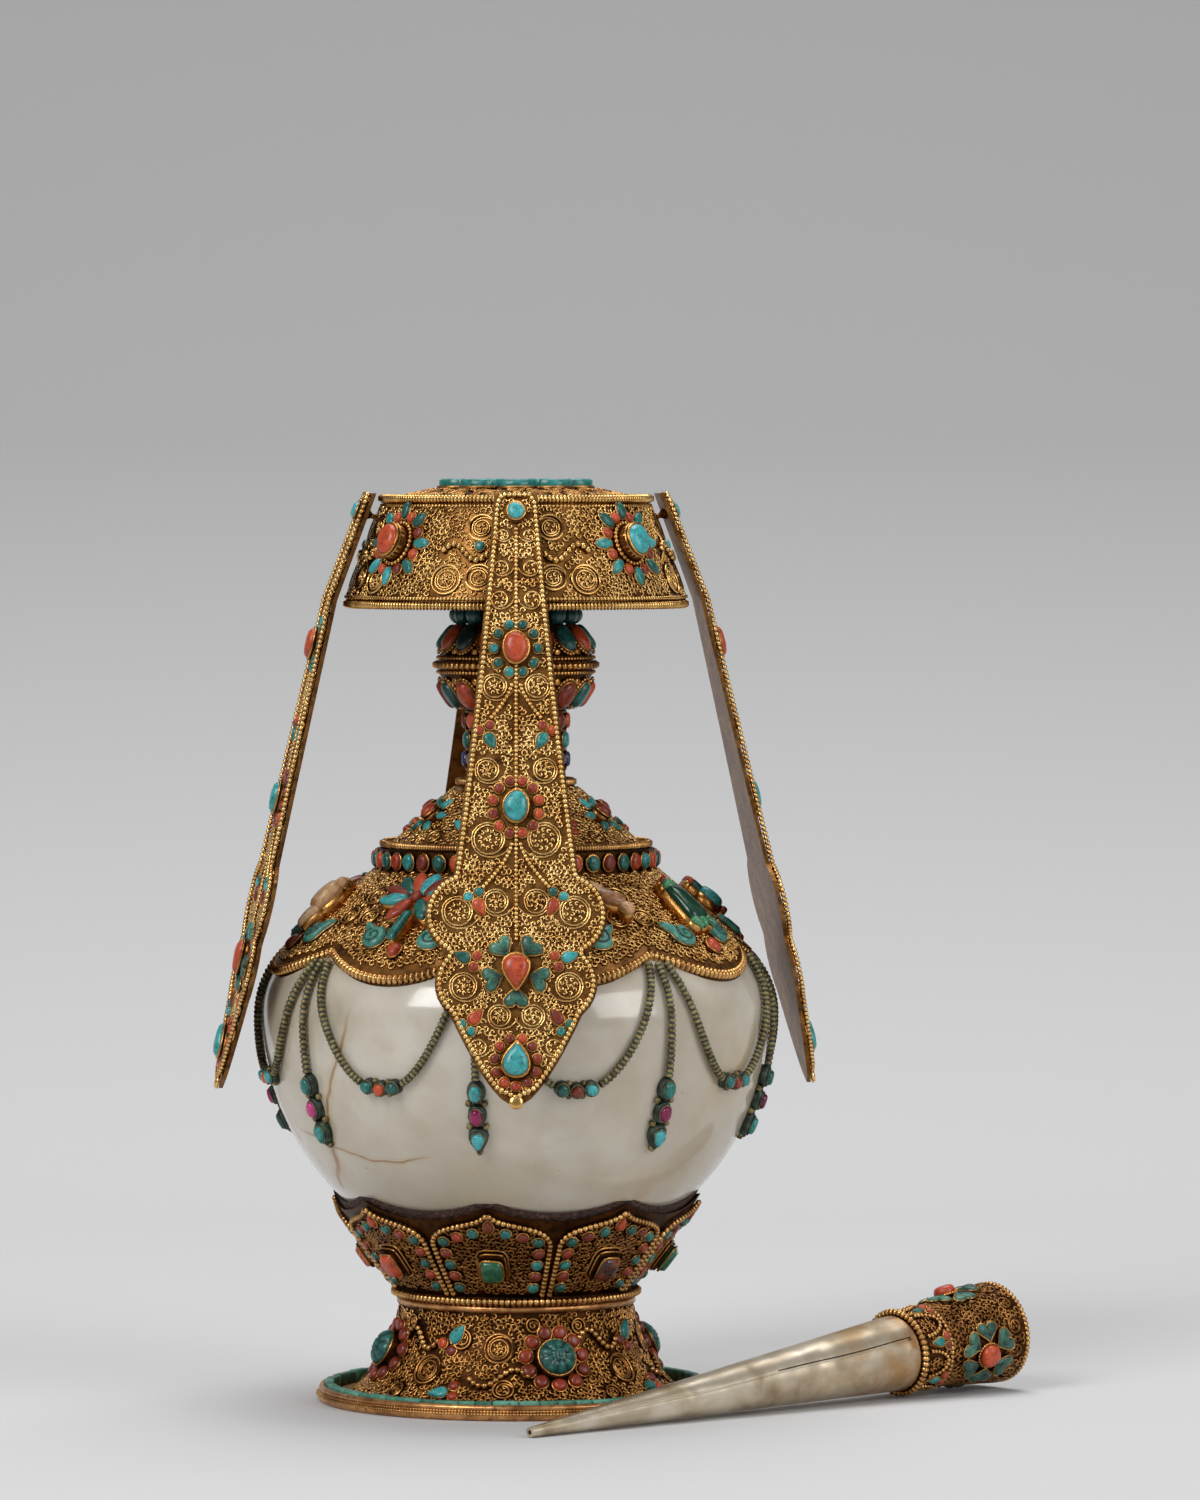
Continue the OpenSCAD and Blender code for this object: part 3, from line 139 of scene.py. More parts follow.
def domes(outline, height, seat, swell=((1, 0), (1, .42), (.93, .7), (.76, .9), (.45, .99)), tint=0.5):
    """Cut stones. Each outline shrinks ring by ring towards its middle by the first number of swell
    while it climbs to the second number's share of the height; fans close the top and the base."""
    seat = [np.reshape(v, (-1, 3)) for v in seat]
    outline = np.asarray(outline, float).reshape(-1, *np.shape(outline)[-2:])
    count = max(len(outline), len(seat[0]))
    outline = np.broadcast_to(outline, (count, *outline.shape[1:]))
    origin, across, up, out = [np.broadcast_to(v, (count, 3))[:, None] for v in seat]
    share, climb = np.array(swell, float).T
    rings, corners = len(share), outline.shape[1]
    middle = outline.mean(1)
    flat = middle[:, None, None] + (outline - middle[:, None])[:, None] * share[:, None, None]
    flat = np.concatenate([flat.reshape(count, -1, 2), middle[:, None], middle[:, None]], 1)
    tall = np.concatenate([np.repeat(climb, corners), [1, 0]])
    tall = np.broadcast_to(height, count)[:, None] * tall
    points = origin + flat[..., :1] * across + flat[..., 1:] * up + tall[..., None] * out
    quads = ring_quads(rings, corners)
    j, top = np.arange(corners), rings * corners
    on, last = (j + 1) % corners, top - corners
    fans = np.concatenate([np.stack([last + j, last + on, np.full(corners, top)], -1),
                           np.stack([on, j, np.full(corners, top + 1)], -1)])
    shift = (np.arange(count) * (top + 2))[:, None, None]
    faces = [(quads[None] + shift).reshape(-1, 4), (fans[None] + shift).reshape(-1, 3)]
    return points, faces, np.repeat(np.broadcast_to(tint, count), top + 2)


def piece(name, blocks, material, body, slot, *stands_for):
    """One named object from blocks of points in millimetres, face arrays and a tint for each point."""
    points, corners, sizes, tints, first = [], [], [], [], 0
    for block_points, faces, tint in blocks:
        block_points = block_points.reshape(-1, 3)
        for rows in faces:
            corners.append(rows.ravel() + first)
            sizes.append(np.full(len(rows), rows.shape[1]))
        points.append(block_points)
        tints.append(np.reshape(tint, -1))
        first += len(block_points)
    corners, sizes = np.concatenate(corners), np.concatenate(sizes)
    mesh = bpy.data.meshes.new(name)
    mesh.vertices.add(first)
    mesh.vertices.foreach_set("co", (np.concatenate(points) * MM).astype(np.float32).ravel())
    mesh.loops.add(len(corners))
    mesh.loops.foreach_set("vertex_index", corners.astype(np.int32))
    mesh.polygons.add(len(sizes))
    mesh.polygons.foreach_set("loop_start", (np.cumsum(sizes) - sizes).astype(np.int32))
    mesh.polygons.foreach_set("use_smooth", np.ones(len(sizes), bool))
    mesh.attributes.new("tint", "FLOAT", "POINT").data.foreach_set(
        "value", np.concatenate(tints).astype(np.float32))
    mesh.update(calc_edges=True)
    mesh.materials.append(material)
    made = bpy.data.objects.new(name, mesh)
    bpy.context.collection.objects.link(made)
    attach(made, body)
    if stands_for:
        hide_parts(*stands_for)
    return made


def paint(material, *names):
    """Puts a finish on solids that keep their shape."""
    for name in names:
        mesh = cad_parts[name].data
        mesh.materials.clear()
        mesh.materials.append(material)


def tone(r, g, b):
    """Screen colour from 0 to 255 as linear light."""
    c = np.array([r, g, b]) / 255
    return (*np.where(c < 0.04045, c / 12.92, ((c + 0.055) / 1.055) ** 2.4), 1.0)


class Finish:
    """Material in the making: its nodes, link call, surface sockets and the object's own coordinates."""

    def __init__(self, name):
        self.made = bpy.data.materials.new(name)
        self.made.use_nodes = True
        self.nodes, self.link = self.made.node_tree.nodes, self.made.node_tree.links.new
        self.skin = self.nodes["Principled BSDF"].inputs
        self.place = self.nodes.new("ShaderNodeTexCoord").outputs["Object"]

    def feed(self, sockets, values):
        """Links each value that is a socket, and sets each plain one."""
        for socket, value in zip(sockets, values):
            if isinstance(value, bpy.types.NodeSocket):
                self.link(value, socket)
            else:
                socket.default_value = value

    def surface(self, name, value):
        """Gives the surface shader's named socket a socket or a plain value."""
        self.feed([self.skin[name]], [value])

    def noise(self, scale, detail=4.0, warp=0.0):
        """Cloudy noise; scale is in clouds per metre."""
        made = self.nodes.new("ShaderNodeTexNoise")
        sockets = [made.inputs[name] for name in ("Vector", "Scale", "Detail", "Distortion")]
        self.feed(sockets, (self.place, scale, detail, warp))
        return made.outputs["Fac"]

    def ramp(self, value, *stops):
        """Colours laid along a value; each stop is a position and a screen colour."""
        made = self.nodes.new("ShaderNodeValToRGB")
        bar = made.color_ramp.elements
        while len(bar) < len(stops):
            bar.new(0.5)
        for element, (at, colour) in zip(bar, stops):
            element.position, element.color = at, tone(*colour)
        self.link(value, made.inputs["Fac"])
        return made.outputs["Color"]

    def blend(self, share, under, over):
        """Mix of two colours; share, under and over are sockets or values."""
        made = self.nodes.new("ShaderNodeMix")
        made.data_type = "RGBA"
        self.feed((made.inputs[0], made.inputs[6], made.inputs[7]), (share, under, over))
        return made.outputs[2]

    def arith(self, operation, *values):
        """Result of one arithmetic step on sockets or numbers."""
        made = self.nodes.new("ShaderNodeMath")
        made.operation = operation
        self.feed(made.inputs, values)
        return made.outputs[0]

    def measured(self, operation, point):
        """Distance from a point, or dot product with it, of the place on a piece."""
        made = self.nodes.new("ShaderNodeVectorMath")
        made.operation = operation
        self.feed(made.inputs, (self.place, point))
        return made.outputs["Value"]

    def own_tint(self):
        """Tint that each point of a piece carries."""
        made = self.nodes.new("ShaderNodeAttribute")
        made.attribute_name = "tint"
        return made.outputs["Fac"]

    def spread(self, value, low, high, start=0.0, stop=1.0):
        """Value rescaled from start..stop to low..high."""
        made = self.nodes.new("ShaderNodeMapRange")
        sockets = [made.inputs[name] for name in ("Value", "From Min", "From Max", "To Min", "To Max")]
        self.feed(sockets, (value, start, stop, low, high))
        return made.outputs["Result"]

    def bump(self, height, strength, distance):
        """Relief on the surface's normal, distance in metres."""
        made = self.nodes.new("ShaderNodeBump")
        sockets = [made.inputs[name] for name in ("Height", "Strength", "Distance")]
        self.feed(sockets, (height, strength, distance))
        self.surface("Normal", made.outputs["Normal"])


def gilding(name, bright, worn, grime_and_shade, rough=0.32, worked=True):
    """Fire gilding: bright and worn gold mixed by cloudy noise. On worked pieces a dark colour is laid where
    the tint is low:
    painted shade under and beside wires, and grime with painted shade in grooves; on plain sheet it is grime
    in clouds. Fine noise tools it."""
    finish = Finish(name)
    wear = finish.noise(160, 5)
    colour = finish.ramp(wear, (0.36, worn), (0.62, bright))
    if worked:
        # Low tint takes the dark colour: painted shade under and beside wires, grime and painted shade in
        # grooves.
        share = finish.spread(finish.own_tint(), 1.0, 0.0, 0.05, 0.78)
    else:
        share = finish.spread(finish.noise(420, 6), 0.0, 0.75, 0.5, 0.72)
    finish.surface("Base Color", finish.blend(share, colour, tone(*grime_and_shade)))
    finish.surface("Metallic", 1.0)
    fine = finish.noise(2200, 3)
    finish.surface("Roughness", finish.spread(fine, rough - 0.1, rough + 0.16, 0.3, 0.7))
    finish.bump(fine, 0.3, 0.00015)
    return finish.made


def cut_stone(name, deep, middle, pale, vein, veins=0.5, rough=0.26):
    """Opaque cabochon stone: each stone's tint and a cloud choose between three tones, a warped
    noise band draws dark matrix veins, and a thin polish lies over it."""
    finish = Finish(name)
    cloud = finish.noise(420, 5, 0.4)
    own = finish.spread(finish.own_tint(), -0.45, 0.55)
    mixed = finish.arith("MULTIPLY_ADD", cloud, 0.9, own)
    colour = finish.ramp(mixed, (0.12, deep), (0.5, middle), (0.9, pale))
    crack = finish.arith("COMPARE", finish.noise(330, 8, 1.6), 0.5, 0.014)
    share = finish.arith("MULTIPLY", crack, veins)
    finish.surface("Base Color", finish.blend(share, colour, tone(*vein)))
    finish.surface("Roughness", finish.spread(cloud, rough - 0.08, rough + 0.16, 0.3, 0.7))
    finish.surface("Coat Weight", 0.12)
    finish.surface("Coat Roughness", 0.12)
    finish.bump(cloud, 0.25, 0.0004)
    return finish.made


rim_gold = gilding("rim_gold", (234, 182, 112), (182, 130, 74), (52, 31, 15), 0.3)
# Sheet under filigree, stones and wires: its brown gilt made darker with painted shade, for the shade between
# the wires.
shaded_sheet_brown = gilding("shaded_sheet_brown", (84, 51, 25), (56, 33, 16), (24, 14, 8), 0.46, worked=False)
plate_gold = gilding("plate_gold", (228, 172, 112), (176, 122, 76), (92, 58, 33), 0.36, worked=False)
turquoise = cut_stone("turquoise", (20, 84, 74), (34, 122, 114), (66, 170, 174), (40, 40, 28), 0.65)
chip_green = cut_stone("chip_green", (44, 106, 88), (70, 138, 116), (98, 164, 144), (58, 62, 44), 0.7, 0.5)

paint(plate_gold, "foot_plate")
piece("plate_rim_wires", [hoop(plate_r - 0.55, 2.7, 0.42, 1.0), hoop(plate_r - 0.05, 1.9, 0.4, 1.0)],
      rim_gold, "vase", "gilt")

rng = np.random.default_rng(5)
chip_az = (np.arange(chip_count) + rng.uniform(-0.25, 0.25, chip_count)) * 360 / chip_count
chip_len = np.radians(np.diff(np.append(chip_az, chip_az[0] + 360))) * chip_ring_r - 0.3
corner = np.array([[-1, -1], [0, -1], [1, -1], [1, 1], [0, 1], [-1, 1]]) / 2
chip_mid = chip_az + np.degrees(chip_len / 2 / chip_ring_r)
bow = chip_ring_r * (1 - np.cos(np.radians(360 / chip_count / 2)))
chip_outline = corner * np.stack([chip_len, np.full(chip_count, chip_w)], -1)[:, None]
chip_outline[:, [1, 4], 1] -= bow
chip_seat = (polar(chip_mid, chip_ring_r, chip_low), polar(chip_mid + 90, 1, 0), polar(chip_mid, -1, 0),
             np.array([[0, 0, 1.0]]))
piece("plate_inlay_chips",
      [domes(chip_outline, chip_h + rng.uniform(-0.2, 0.15, chip_count), chip_seat,
             ((1, 0), (1, 0.9), (0.9, 1)), rng.uniform(0, 1, chip_count))],
      chip_green, "vase", "turquoise", "plate_inlay_ring")


# Foot cone: sheet copper raised to a waisted cone, covered with soldered filigree scrolls.
# Four carved turquoise bosses stand in tall collets inside rings of coral, with beaded S-scrolls
# and little flowers of one drop and two beads between them.
foot_arc_x, foot_arc_z, foot_arc_r = 74.21, 33.0, 38.73
boss_r, boss_z, boss_collet_h = 5.6, 15.6, 3.0
boss_az = 17 + 90 * np.arange(4)
whorl_rim, coral_ring_r, ring_corals = 0.36, 8.9, 11


def upright(az, r, z, tilt=0.0, lift=0.0):
    """Seats round the axis: point, across, up and out, whose outward direction is tilted up from level."""
    out, across = polar(az, np.cos(tilt), np.sin(tilt)), polar(az + 90, 1, 0)
    return polar(az, r, z) + lift * out, across, np.cross(out, across), out


def seated(point, across, out, turn):
    """Seats whose across and up are turned by degrees in the surface."""
    up, t = np.cross(out, across), np.radians(turn)[..., None]
    return point, np.cos(t) * across + np.sin(t) * up, np.cos(t) * up - np.sin(t) * across, out


def raised(seat, lift):
    """Seats moved outwards."""
    return [seat[0] + lift * seat[3], *seat[1:]]


def turned(profile):
    """Turned surface. Its profile of radius and height, narrow end first, is measured along its run.
    at() gives points and normals; unroll() lays azimuth and run flat as a sector of a ring, whose
    angle is the azimuth times the cone's slope, so that a scroll drawn flat keeps its size."""
    r, z = np.array(profile, float).T
    run = np.concatenate([[0], np.cumsum(np.hypot(np.diff(r), np.diff(z)))])
    falls = np.sign(z[-1] - z[0])
    lean = np.arctan2(-falls * np.gradient(r, run), falls * np.gradient(z, run))
    slope = (r[-1] - r[0]) / run[-1]
    apex = r[0] / slope

    def at(az, s, lift=0.0):
        tilt = np.interp(s, run, lean)
        out = polar(az, np.cos(tilt), np.sin(tilt))
        flat = polar(az, np.interp(s, run, r), np.interp(s, run, z))
        return flat + np.asarray(lift)[..., None] * out, out

    def seat(az, s, lift=0.0, turn=0.0):
        point, out = at(az, s, lift)
        return seated(point, polar(np.asarray(az) + 90, 1, 0) + 0 * out, out, turn)

    def unroll(az, s):
        a = np.radians(az) * slope
        return np.stack([(apex + s) * np.sin(a), -(apex + s) * np.cos(a)], -1)

    def roll(xy):
        return (np.degrees(np.arctan2(xy[..., 0], -xy[..., 1])) / slope,
                np.hypot(xy[..., 0], xy[..., 1]) - apex)

    def beside(az, s, dx, dy):
        """Moves by dx across and dy up the surface; up is towards greater height."""
        return az + np.degrees(dx / np.interp(s, run, r)), s + falls * dy

    return SimpleNamespace(at=at, seat=seat, unroll=unroll, roll=roll, beside=beside, length=run[-1],
                           by_z=lambda v: np.interp(falls * np.asarray(v), falls * z, run),
                           by_r=lambda v: np.interp(v, r, run), reach=apex + run[-1], laps=(-360, 0, 360))


def spun(far, a):
    """Flat points at distances far and angles a from a middle."""
    return np.stack([far * np.cos(a), far * np.sin(a)], -1)


def coil(centre, size, turn, hand, sweep=6.2, points=10, tail=1.35):
    """Comma scroll: a point runs round a centre while its distance shrinks from a tail to a fifth."""
    t = np.linspace(0, 1, points)
    far = size[:, None] * (tail - (tail - 0.2) * t ** 0.8)
    a = turn[:, None] + hand[:, None] * sweep * t
    return centre[:, None] + spun(far, a)


def clasp(centre, size, turn, points=10):
    """C scroll: two thirds of a circle whose ends hook inwards."""
    t = np.linspace(-1, 1, points)
    far = size[:, None] * (1.08 - 0.6 * np.abs(t) ** 3)
    a = turn[:, None] + 2.5 * t
    return centre[:, None] + spun(far, a)


def scrollwork(surface, inside, whorls, holes, seed, wire=0.23, pitch=2.0, box=None, rim=0.0):
    """Filigree. Whorls come first: a rim ring where one is asked for, a spiral inside it and hooks turning
    in its middle. Coils and clasps on a shaken honeycomb grid, each facing the nearest whorl, fill what the
    whorls and the stones' holes leave. Whorls and holes are rows of two surface coordinates and a radius."""
    past_seam, lap_gap, hook = 215, 0.76, 0.62
    draw = np.random.default_rng(seed)
    whorls = np.reshape(np.array(whorls, float), (-1, 3))
    holes = np.reshape(np.array(holes, float), (-1, 3))
    if len(surface.laps) > 1:
        whorls[:, 0] = (whorls[:, 0] + 180) % 360 - 180
        holes[:, 0] = (holes[:, 0] + 180) % 360 - 180
    discs = np.concatenate([whorls + [0, 0, 0.45], holes])
    discs = np.concatenate([discs + [lap, 0, 0] for lap in surface.laps])
    discs = discs[np.abs(discs[:, 0]) < past_seam]
    x0, y0, x1, y1 = box or (-surface.reach, -surface.reach, surface.reach, surface.reach)
    rows, cols = np.arange(y0, y1, pitch * 0.87), np.arange(x0, x1, pitch)
    gx, gy = np.meshgrid(cols, rows)
    gx = gx + (np.arange(len(rows)) % 2)[:, None] * pitch / 2
    xy = np.stack([gx, gy], -1).reshape(-1, 2)
    xy = xy + draw.uniform(-0.16, 0.16, xy.shape) * pitch
    xy = xy[inside(*surface.roll(xy))]
    away = xy[:, None] - surface.unroll(discs[:, 0], discs[:, 1])[None]
    gap = np.linalg.norm(away, axis=-1) - discs[:, 2]
    clear = (gap > 0).all(1)
    xy, away, gap = xy[clear], away[clear], gap[clear]
    count = len(xy)
    nearest = away[np.arange(count), np.argmin(gap, 1)]
    size = pitch * draw.uniform(0.46, 0.56, count)
    hand = np.where(draw.random(count) < 0.5, -1.0, 1.0)
    is_coil = draw.random(count) < 0.4
    turn = np.arctan2(nearest[:, 1], nearest[:, 0]) + draw.uniform(-0.5, 0.5, count)
    flat = [coil(xy[is_coil], size[is_coil], turn[is_coil], hand[is_coil], 5.6, 8),
            clasp(xy[~is_coil], size[~is_coil] * 0.95, turn[~is_coil], 7)]
    blocks = []
    if len(whorls):
        mid, big = surface.unroll(whorls[:, 0], whorls[:, 1]), whorls[:, 2] - 2.4 * rim - wire
        side = np.where(np.arange(len(whorls)) % 2 == 0, 1.0, -1.0)
        laps = np.where(big > 3.2, 2.1, 1.3)
        t = np.linspace(0, 1, 34)
        a = np.where(side > 0, 0.0, np.pi)[:, None] + (side * 2 * np.pi * laps)[:, None] * t
        far = big[:, None] * (1 + 0.4 * np.maximum(0, 1 - t / 0.16) ** 2) - lap_gap * laps[:, None] * t
        flat.append(mid[:, None] + spun(far, a))
        for spot, room, way in zip(mid, big - lap_gap * laps - 0.15, side):
            for ring_r, number in ((0.68 * room, int(2.9 * room)), (0.2 * room, 3 if room > 2.0 else 0)):
                a = 2 * np.pi * np.arange(number) / max(1, number) + draw.uniform(0, 6)
                flat.append(coil(spot + spun(ring_r, a), np.full(number, hook), a + 0.5,
                                 np.full(number, way), 4.8, 7))
        if rim:
            a = 2 * np.pi * np.arange(28) / 28
            rings = mid[:, None] + spun((whorls[:, 2] - rim)[:, None], a)
            points, normals = surface.at(*surface.roll(rings), lift=0.45)
            blocks.append(tubes(points, normals, rim, 6, closed=True, tall=1.4))
    # Wire tops at tint 1, the widened lower half at tint 0: painted shade round each wire on the sheet.
    for lines in flat:
        points, normals = surface.at(*surface.roll(lines), lift=wire * 1.25)
        blocks.append(tubes(points, normals, wire, tint=np.array([1.0, 0, 0, 1.0]), tall=1.7, skirt=2.0))
    return blocks


def between(surface, low, high, middle=0):
    """Test for a turned surface's ground: all round but for its seam, and clear of both edges."""
    return lambda az, s: (np.abs(az - middle) < 179) & (s > low) & (s < surface.length - high)


def oval(w, l, corners=12):
    """Ellipse w wide and l long."""
    a = 2 * np.pi * np.arange(corners) / corners
    return np.stack([np.broadcast_to(w, np.shape(l))[..., None] / 2 * np.cos(a),
                     np.asarray(l)[..., None] / 2 * np.sin(a)], -1)


def drop(w, l, corners=14):
    """Teardrop with its point up: width goes with the sine times the half-angle sine."""
    a = 2 * np.pi * np.arange(corners) / corners
    return np.stack([-w * 0.65 * np.sin(a) * np.sin(a / 2), l / 2 * np.cos(a) + (l - w) / 4], -1)


def bezel(outline, seat, wire=0.3, lift=0.5, grow=1.05):
    """Bezel: a thin wire laid round each stone's outline, a little above its seat."""
    origin, across, up, out = [np.reshape(v, (-1, 1, 3)) for v in seat]
    outline = np.reshape(outline, (-1, *np.shape(outline)[-2:])) * grow
    path = origin + outline[..., :1] * across + outline[..., 1:] * up + lift * out
    shade = np.array([0.75, 0, 0, 0.75])
    return tubes(path, np.broadcast_to(out, path.shape), wire, closed=True, tint=shade, skirt=1.3)


class Tray:
    """Sorted stones of one section, kept until its pieces are made."""

    def __init__(self, seed):
        self.draw, self.sorted, self.rims = np.random.default_rng(seed), {}, []

    def lay(self, kind, outline, height, seat, wire=0.3, swell=None, tint=None):
        """Lays stones of one kind on their seats, each a little out of true, with their bezels."""
        count = np.reshape(seat[0], (-1, 3)).shape[0]
        a = 2 * np.pi * np.arange(np.shape(outline)[-2]) / np.shape(outline)[-2]
        wave = (0.03 * np.cos(2 * a + self.draw.uniform(0, 6, (count, 1)))
                + 0.025 * np.cos(3 * a + self.draw.uniform(0, 6, (count, 1))))
        outline = np.broadcast_to(outline, (count, len(a), 2)) * (1 + wave[..., None])
        if tint is None:
            tint = self.draw.uniform(0, 1, count)
        self.sorted.setdefault(kind, []).append(
            domes(outline, height, seat, swell, tint) if swell else domes(outline, height, seat, tint=tint))
        if wire:
            self.rims.append(bezel(outline, seat, wire, 0.32 * np.mean(height)))


def flowerets(tray, surface, az, s, drop_kind, bead_kind, drop_turn=0.0, size=1.0):
    """Little flowers: one drop and two beads that touch under its round end."""
    t = np.radians(drop_turn)
    for kind, x, y, shape in ((drop_kind, 0, 1.2, drop(3.6 * size, 5.6 * size)),
                              (bead_kind, -1.75, -2.7, oval(2.9 * size, 2.9 * size, 10)),
                              (bead_kind, 1.75, -2.7, oval(2.9 * size, 2.9 * size, 10))):
        dx, dy = size * (x * np.cos(t) - y * np.sin(t)), size * (x * np.sin(t) + y * np.cos(t))
        seat = surface.seat(*surface.beside(az, s, dx, dy), turn=drop_turn + 0 * az)
        tray.lay(kind, shape, 1.6 * size, seat)


def petal_spot(surface, az, s, t, wide, tall):
    """Places round a flower's middle, t degrees from upright: wide across and tall up the surface."""
    return surface.beside(az, s, -wide * np.sin(np.radians(t)), tall * np.cos(np.radians(t)))


def s_lines(surface, az, s, reach, rise):
    """S-scrolls: one full sine wave over the reach; each is a row of azimuths and a row of runs."""
    u = np.linspace(0, 1, 40)
    return [surface.beside(a, s, reach * (u - 0.5), rise * np.sin(2 * np.pi * u)) for a in az]


def beaded(surface, lines, radius=1.0):
    """Pearled wire along each line of a surface."""
    return [pearled(*surface.at(*line, lift=radius), radius, radius * 1.9, 0.4) for line in lines]


def pearl_rims(outline, seat, radius, pitch, lift):
    """Pearled wire laid round each seat's stone."""
    origin, across, up, out = [np.reshape(v, (-1, 1, 3)) for v in seat]
    path = origin + outline[:, :1] * across + outline[:, 1:] * up + lift * out
    return [pearled(line, np.broadcast_to(away, line.shape), radius, pitch, 0.45, closed=True)
            for line, away in zip(path, out)]


brown_gold = gilding("brown_gold", (222, 164, 92), (160, 108, 54), (20, 11, 5), 0.3)
coral = cut_stone("coral", (112, 38, 18), (158, 54, 24), (198, 78, 36), (62, 24, 14), 0.7, 0.34)
carved_turquoise = cut_stone("carved_turquoise", (10, 46, 42), (22, 78, 72), (42, 116, 106), (16, 30, 26),
                             0.8, 0.34)

paint(shaded_sheet_brown, "foot_cone")
rise = np.linspace(29.7, 2.4, 30)
foot = turned(np.stack([foot_arc_x - np.sqrt(foot_arc_r ** 2 - (foot_arc_z - rise) ** 2), rise], -1))
boss_s = foot.by_z(boss_z)
upper_az, lower_az = boss_az - 47, boss_az - 45
upper_s, lower_s = foot.by_z(21.5), foot.by_z(6.0)
scroll_lines = s_lines(foot, boss_az - 24, foot.by_z(10.4), 19.0, -3.0) \
    + s_lines(foot, boss_az + 24, foot.by_z(21.2), 15.0, 3.2)
foot_whorls = ((-25, 19.1, 5.0), (33, 12.1, 5.2), (-22, 7.3, 3.6), (22, 5.6, 3.0),
               (47, 21.6, 3.4), (14, 25.5, 2.6), (-9, 26.1, 2.4))
whorls = [(a + d, foot.by_z(h), r) for a in boss_az for d, h, r in foot_whorls]
holes = [(a, boss_s, 9.8) for a in boss_az] + [(a, upper_s, 3.0) for a in upper_az] \
    + [(a, lower_s, 2.8) for a in lower_az] \
    + [(a, h, 2.0) for line in scroll_lines for a, h in zip(*line)]
piece("foot_filigree", scrollwork(foot, between(foot, 0.6, 0.8), whorls, holes, 11, rim=whorl_rim),
      brown_gold, "vase", "copper_gilt")
piece("foot_bead_scrolls", beaded(foot, scroll_lines), rim_gold, "vase", "gilt")

grid_a = np.linspace(0, 2 * np.pi, 48, endpoint=False)
grid_r = np.array([1.0, 1.0, 0.96, 0.86, 0.7, 0.55, 0.42, 0.36, 0.26, 0.14])
groove_deep = np.where((grid_r > 0.4) & (grid_r < 0.97), 0.75, 0.1)
petal_groove = groove_deep * (np.abs(np.cos(4.5 * grid_a[:, None])) ** 0.5 - 0.75)
weave = np.where(grid_r < 0.4, 0.35, 0.0) * np.cos(4 * grid_a[:, None]) * np.cos(24 * grid_r)
weave = weave - np.where(np.abs(grid_r - 0.42) < 0.04, 0.4, 0)
boss_tall = 3.3 * np.sqrt(1 - 0.92 * grid_r ** 2) + petal_groove + weave
boss_tall[:, 0] = 0


def capped_faces(count, rings, corners):
    """Quads over shells of ringed points, both end rings closed by rows of quads."""
    c, last = np.arange(corners // 2 - 1), (rings - 1) * corners
    faces = np.concatenate([ring_quads(rings, corners),
                            last + np.stack([c, c + 1, corners - 2 - c, corners - 1 - c], -1),
                            np.stack([c, corners - 1 - c, corners - 2 - c, c + 1], -1)])
    return (faces[None] + (np.arange(count) * rings * corners)[:, None, None]).reshape(-1, 4)


def carved_bosses(seat, radius):
    """Carved flower heads: a round dome whose height is cut by nine petal grooves and a woven middle."""
    origin, across, up, out = [v[:, None, None] for v in seat]
    flat = grid_r[None] * radius
    points = (origin + (flat * np.cos(grid_a)[:, None])[None, ..., None] * across
              + (flat * np.sin(grid_a)[:, None])[None, ..., None] * up + boss_tall[None, ..., None] * out)
    points = np.swapaxes(points, 1, 2)
    shade = np.clip(0.62 + 0.9 * (petal_groove + weave), 0, 1).T
    return points, [capped_faces(*points.shape[:3])], np.broadcast_to(shade, points.shape[:3])


tray = Tray(21)
boss_seat = foot.seat(boss_az, np.full(4, boss_s), boss_collet_h)
piece("foot_boss_turquoises", [carved_bosses(boss_seat, boss_r)],
      carved_turquoise, "vase", "turquoise", "foot_turquoises")
ring_turn = 2 * np.pi * (np.arange(ring_corals) + 0.5) / ring_corals
ring_az, ring_s = foot.beside(np.repeat(boss_az, ring_corals), boss_s,
                              np.tile(coral_ring_r * np.sin(ring_turn), 4),
                              np.tile(coral_ring_r * np.cos(ring_turn), 4))
deep = tray.draw.uniform(0.0, 0.45, len(ring_az))
tray.lay("coral", oval(4.4, 4.4), 2.4, foot.seat(ring_az, ring_s), 0.34, tint=deep)
flowerets(tray, foot, upper_az, np.full(4, upper_s), "turquoise", "coral", -35.0, 1.2)
flowerets(tray, foot, lower_az, np.full(4, lower_s), "turquoise", "coral", 100.0, 1.15)
tray.rims.append(bezel(oval(2 * boss_r, 2 * boss_r, 24), boss_seat, 0.4, 0.2))
piece("foot_corals", tray.sorted["coral"], coral, "vase", "coral")
piece("foot_small_turquoises", tray.sorted["turquoise"], turquoise, "vase", "turquoise")
piece("foot_bezels", tray.rims, brown_gold, "vase", "gilt")


# Lotus cup: eight petals of sheet copper round the crystal's underside, each edged with pearled wire
# and a row of small stones; a long stone in a tall box collet stands in the middle of each petal.
cup_low_r, cup_r, flare_z, tip_z = 36.0, 57.3, 34.7, 64.0
waist_rope_r, waist_rope_z, waist_band_r, waist_band_z = 37.5, 33.4, 36.45, 31.0
petal_half, petal_wire = 22.5, 0.95
petal_az = -9 + 45 * np.arange(8)
stone_z, petal_stone, petal_collet_h = 45.44, (6.4, 8.2), 2.2
paint(shaded_sheet_brown, "lotus_cup")
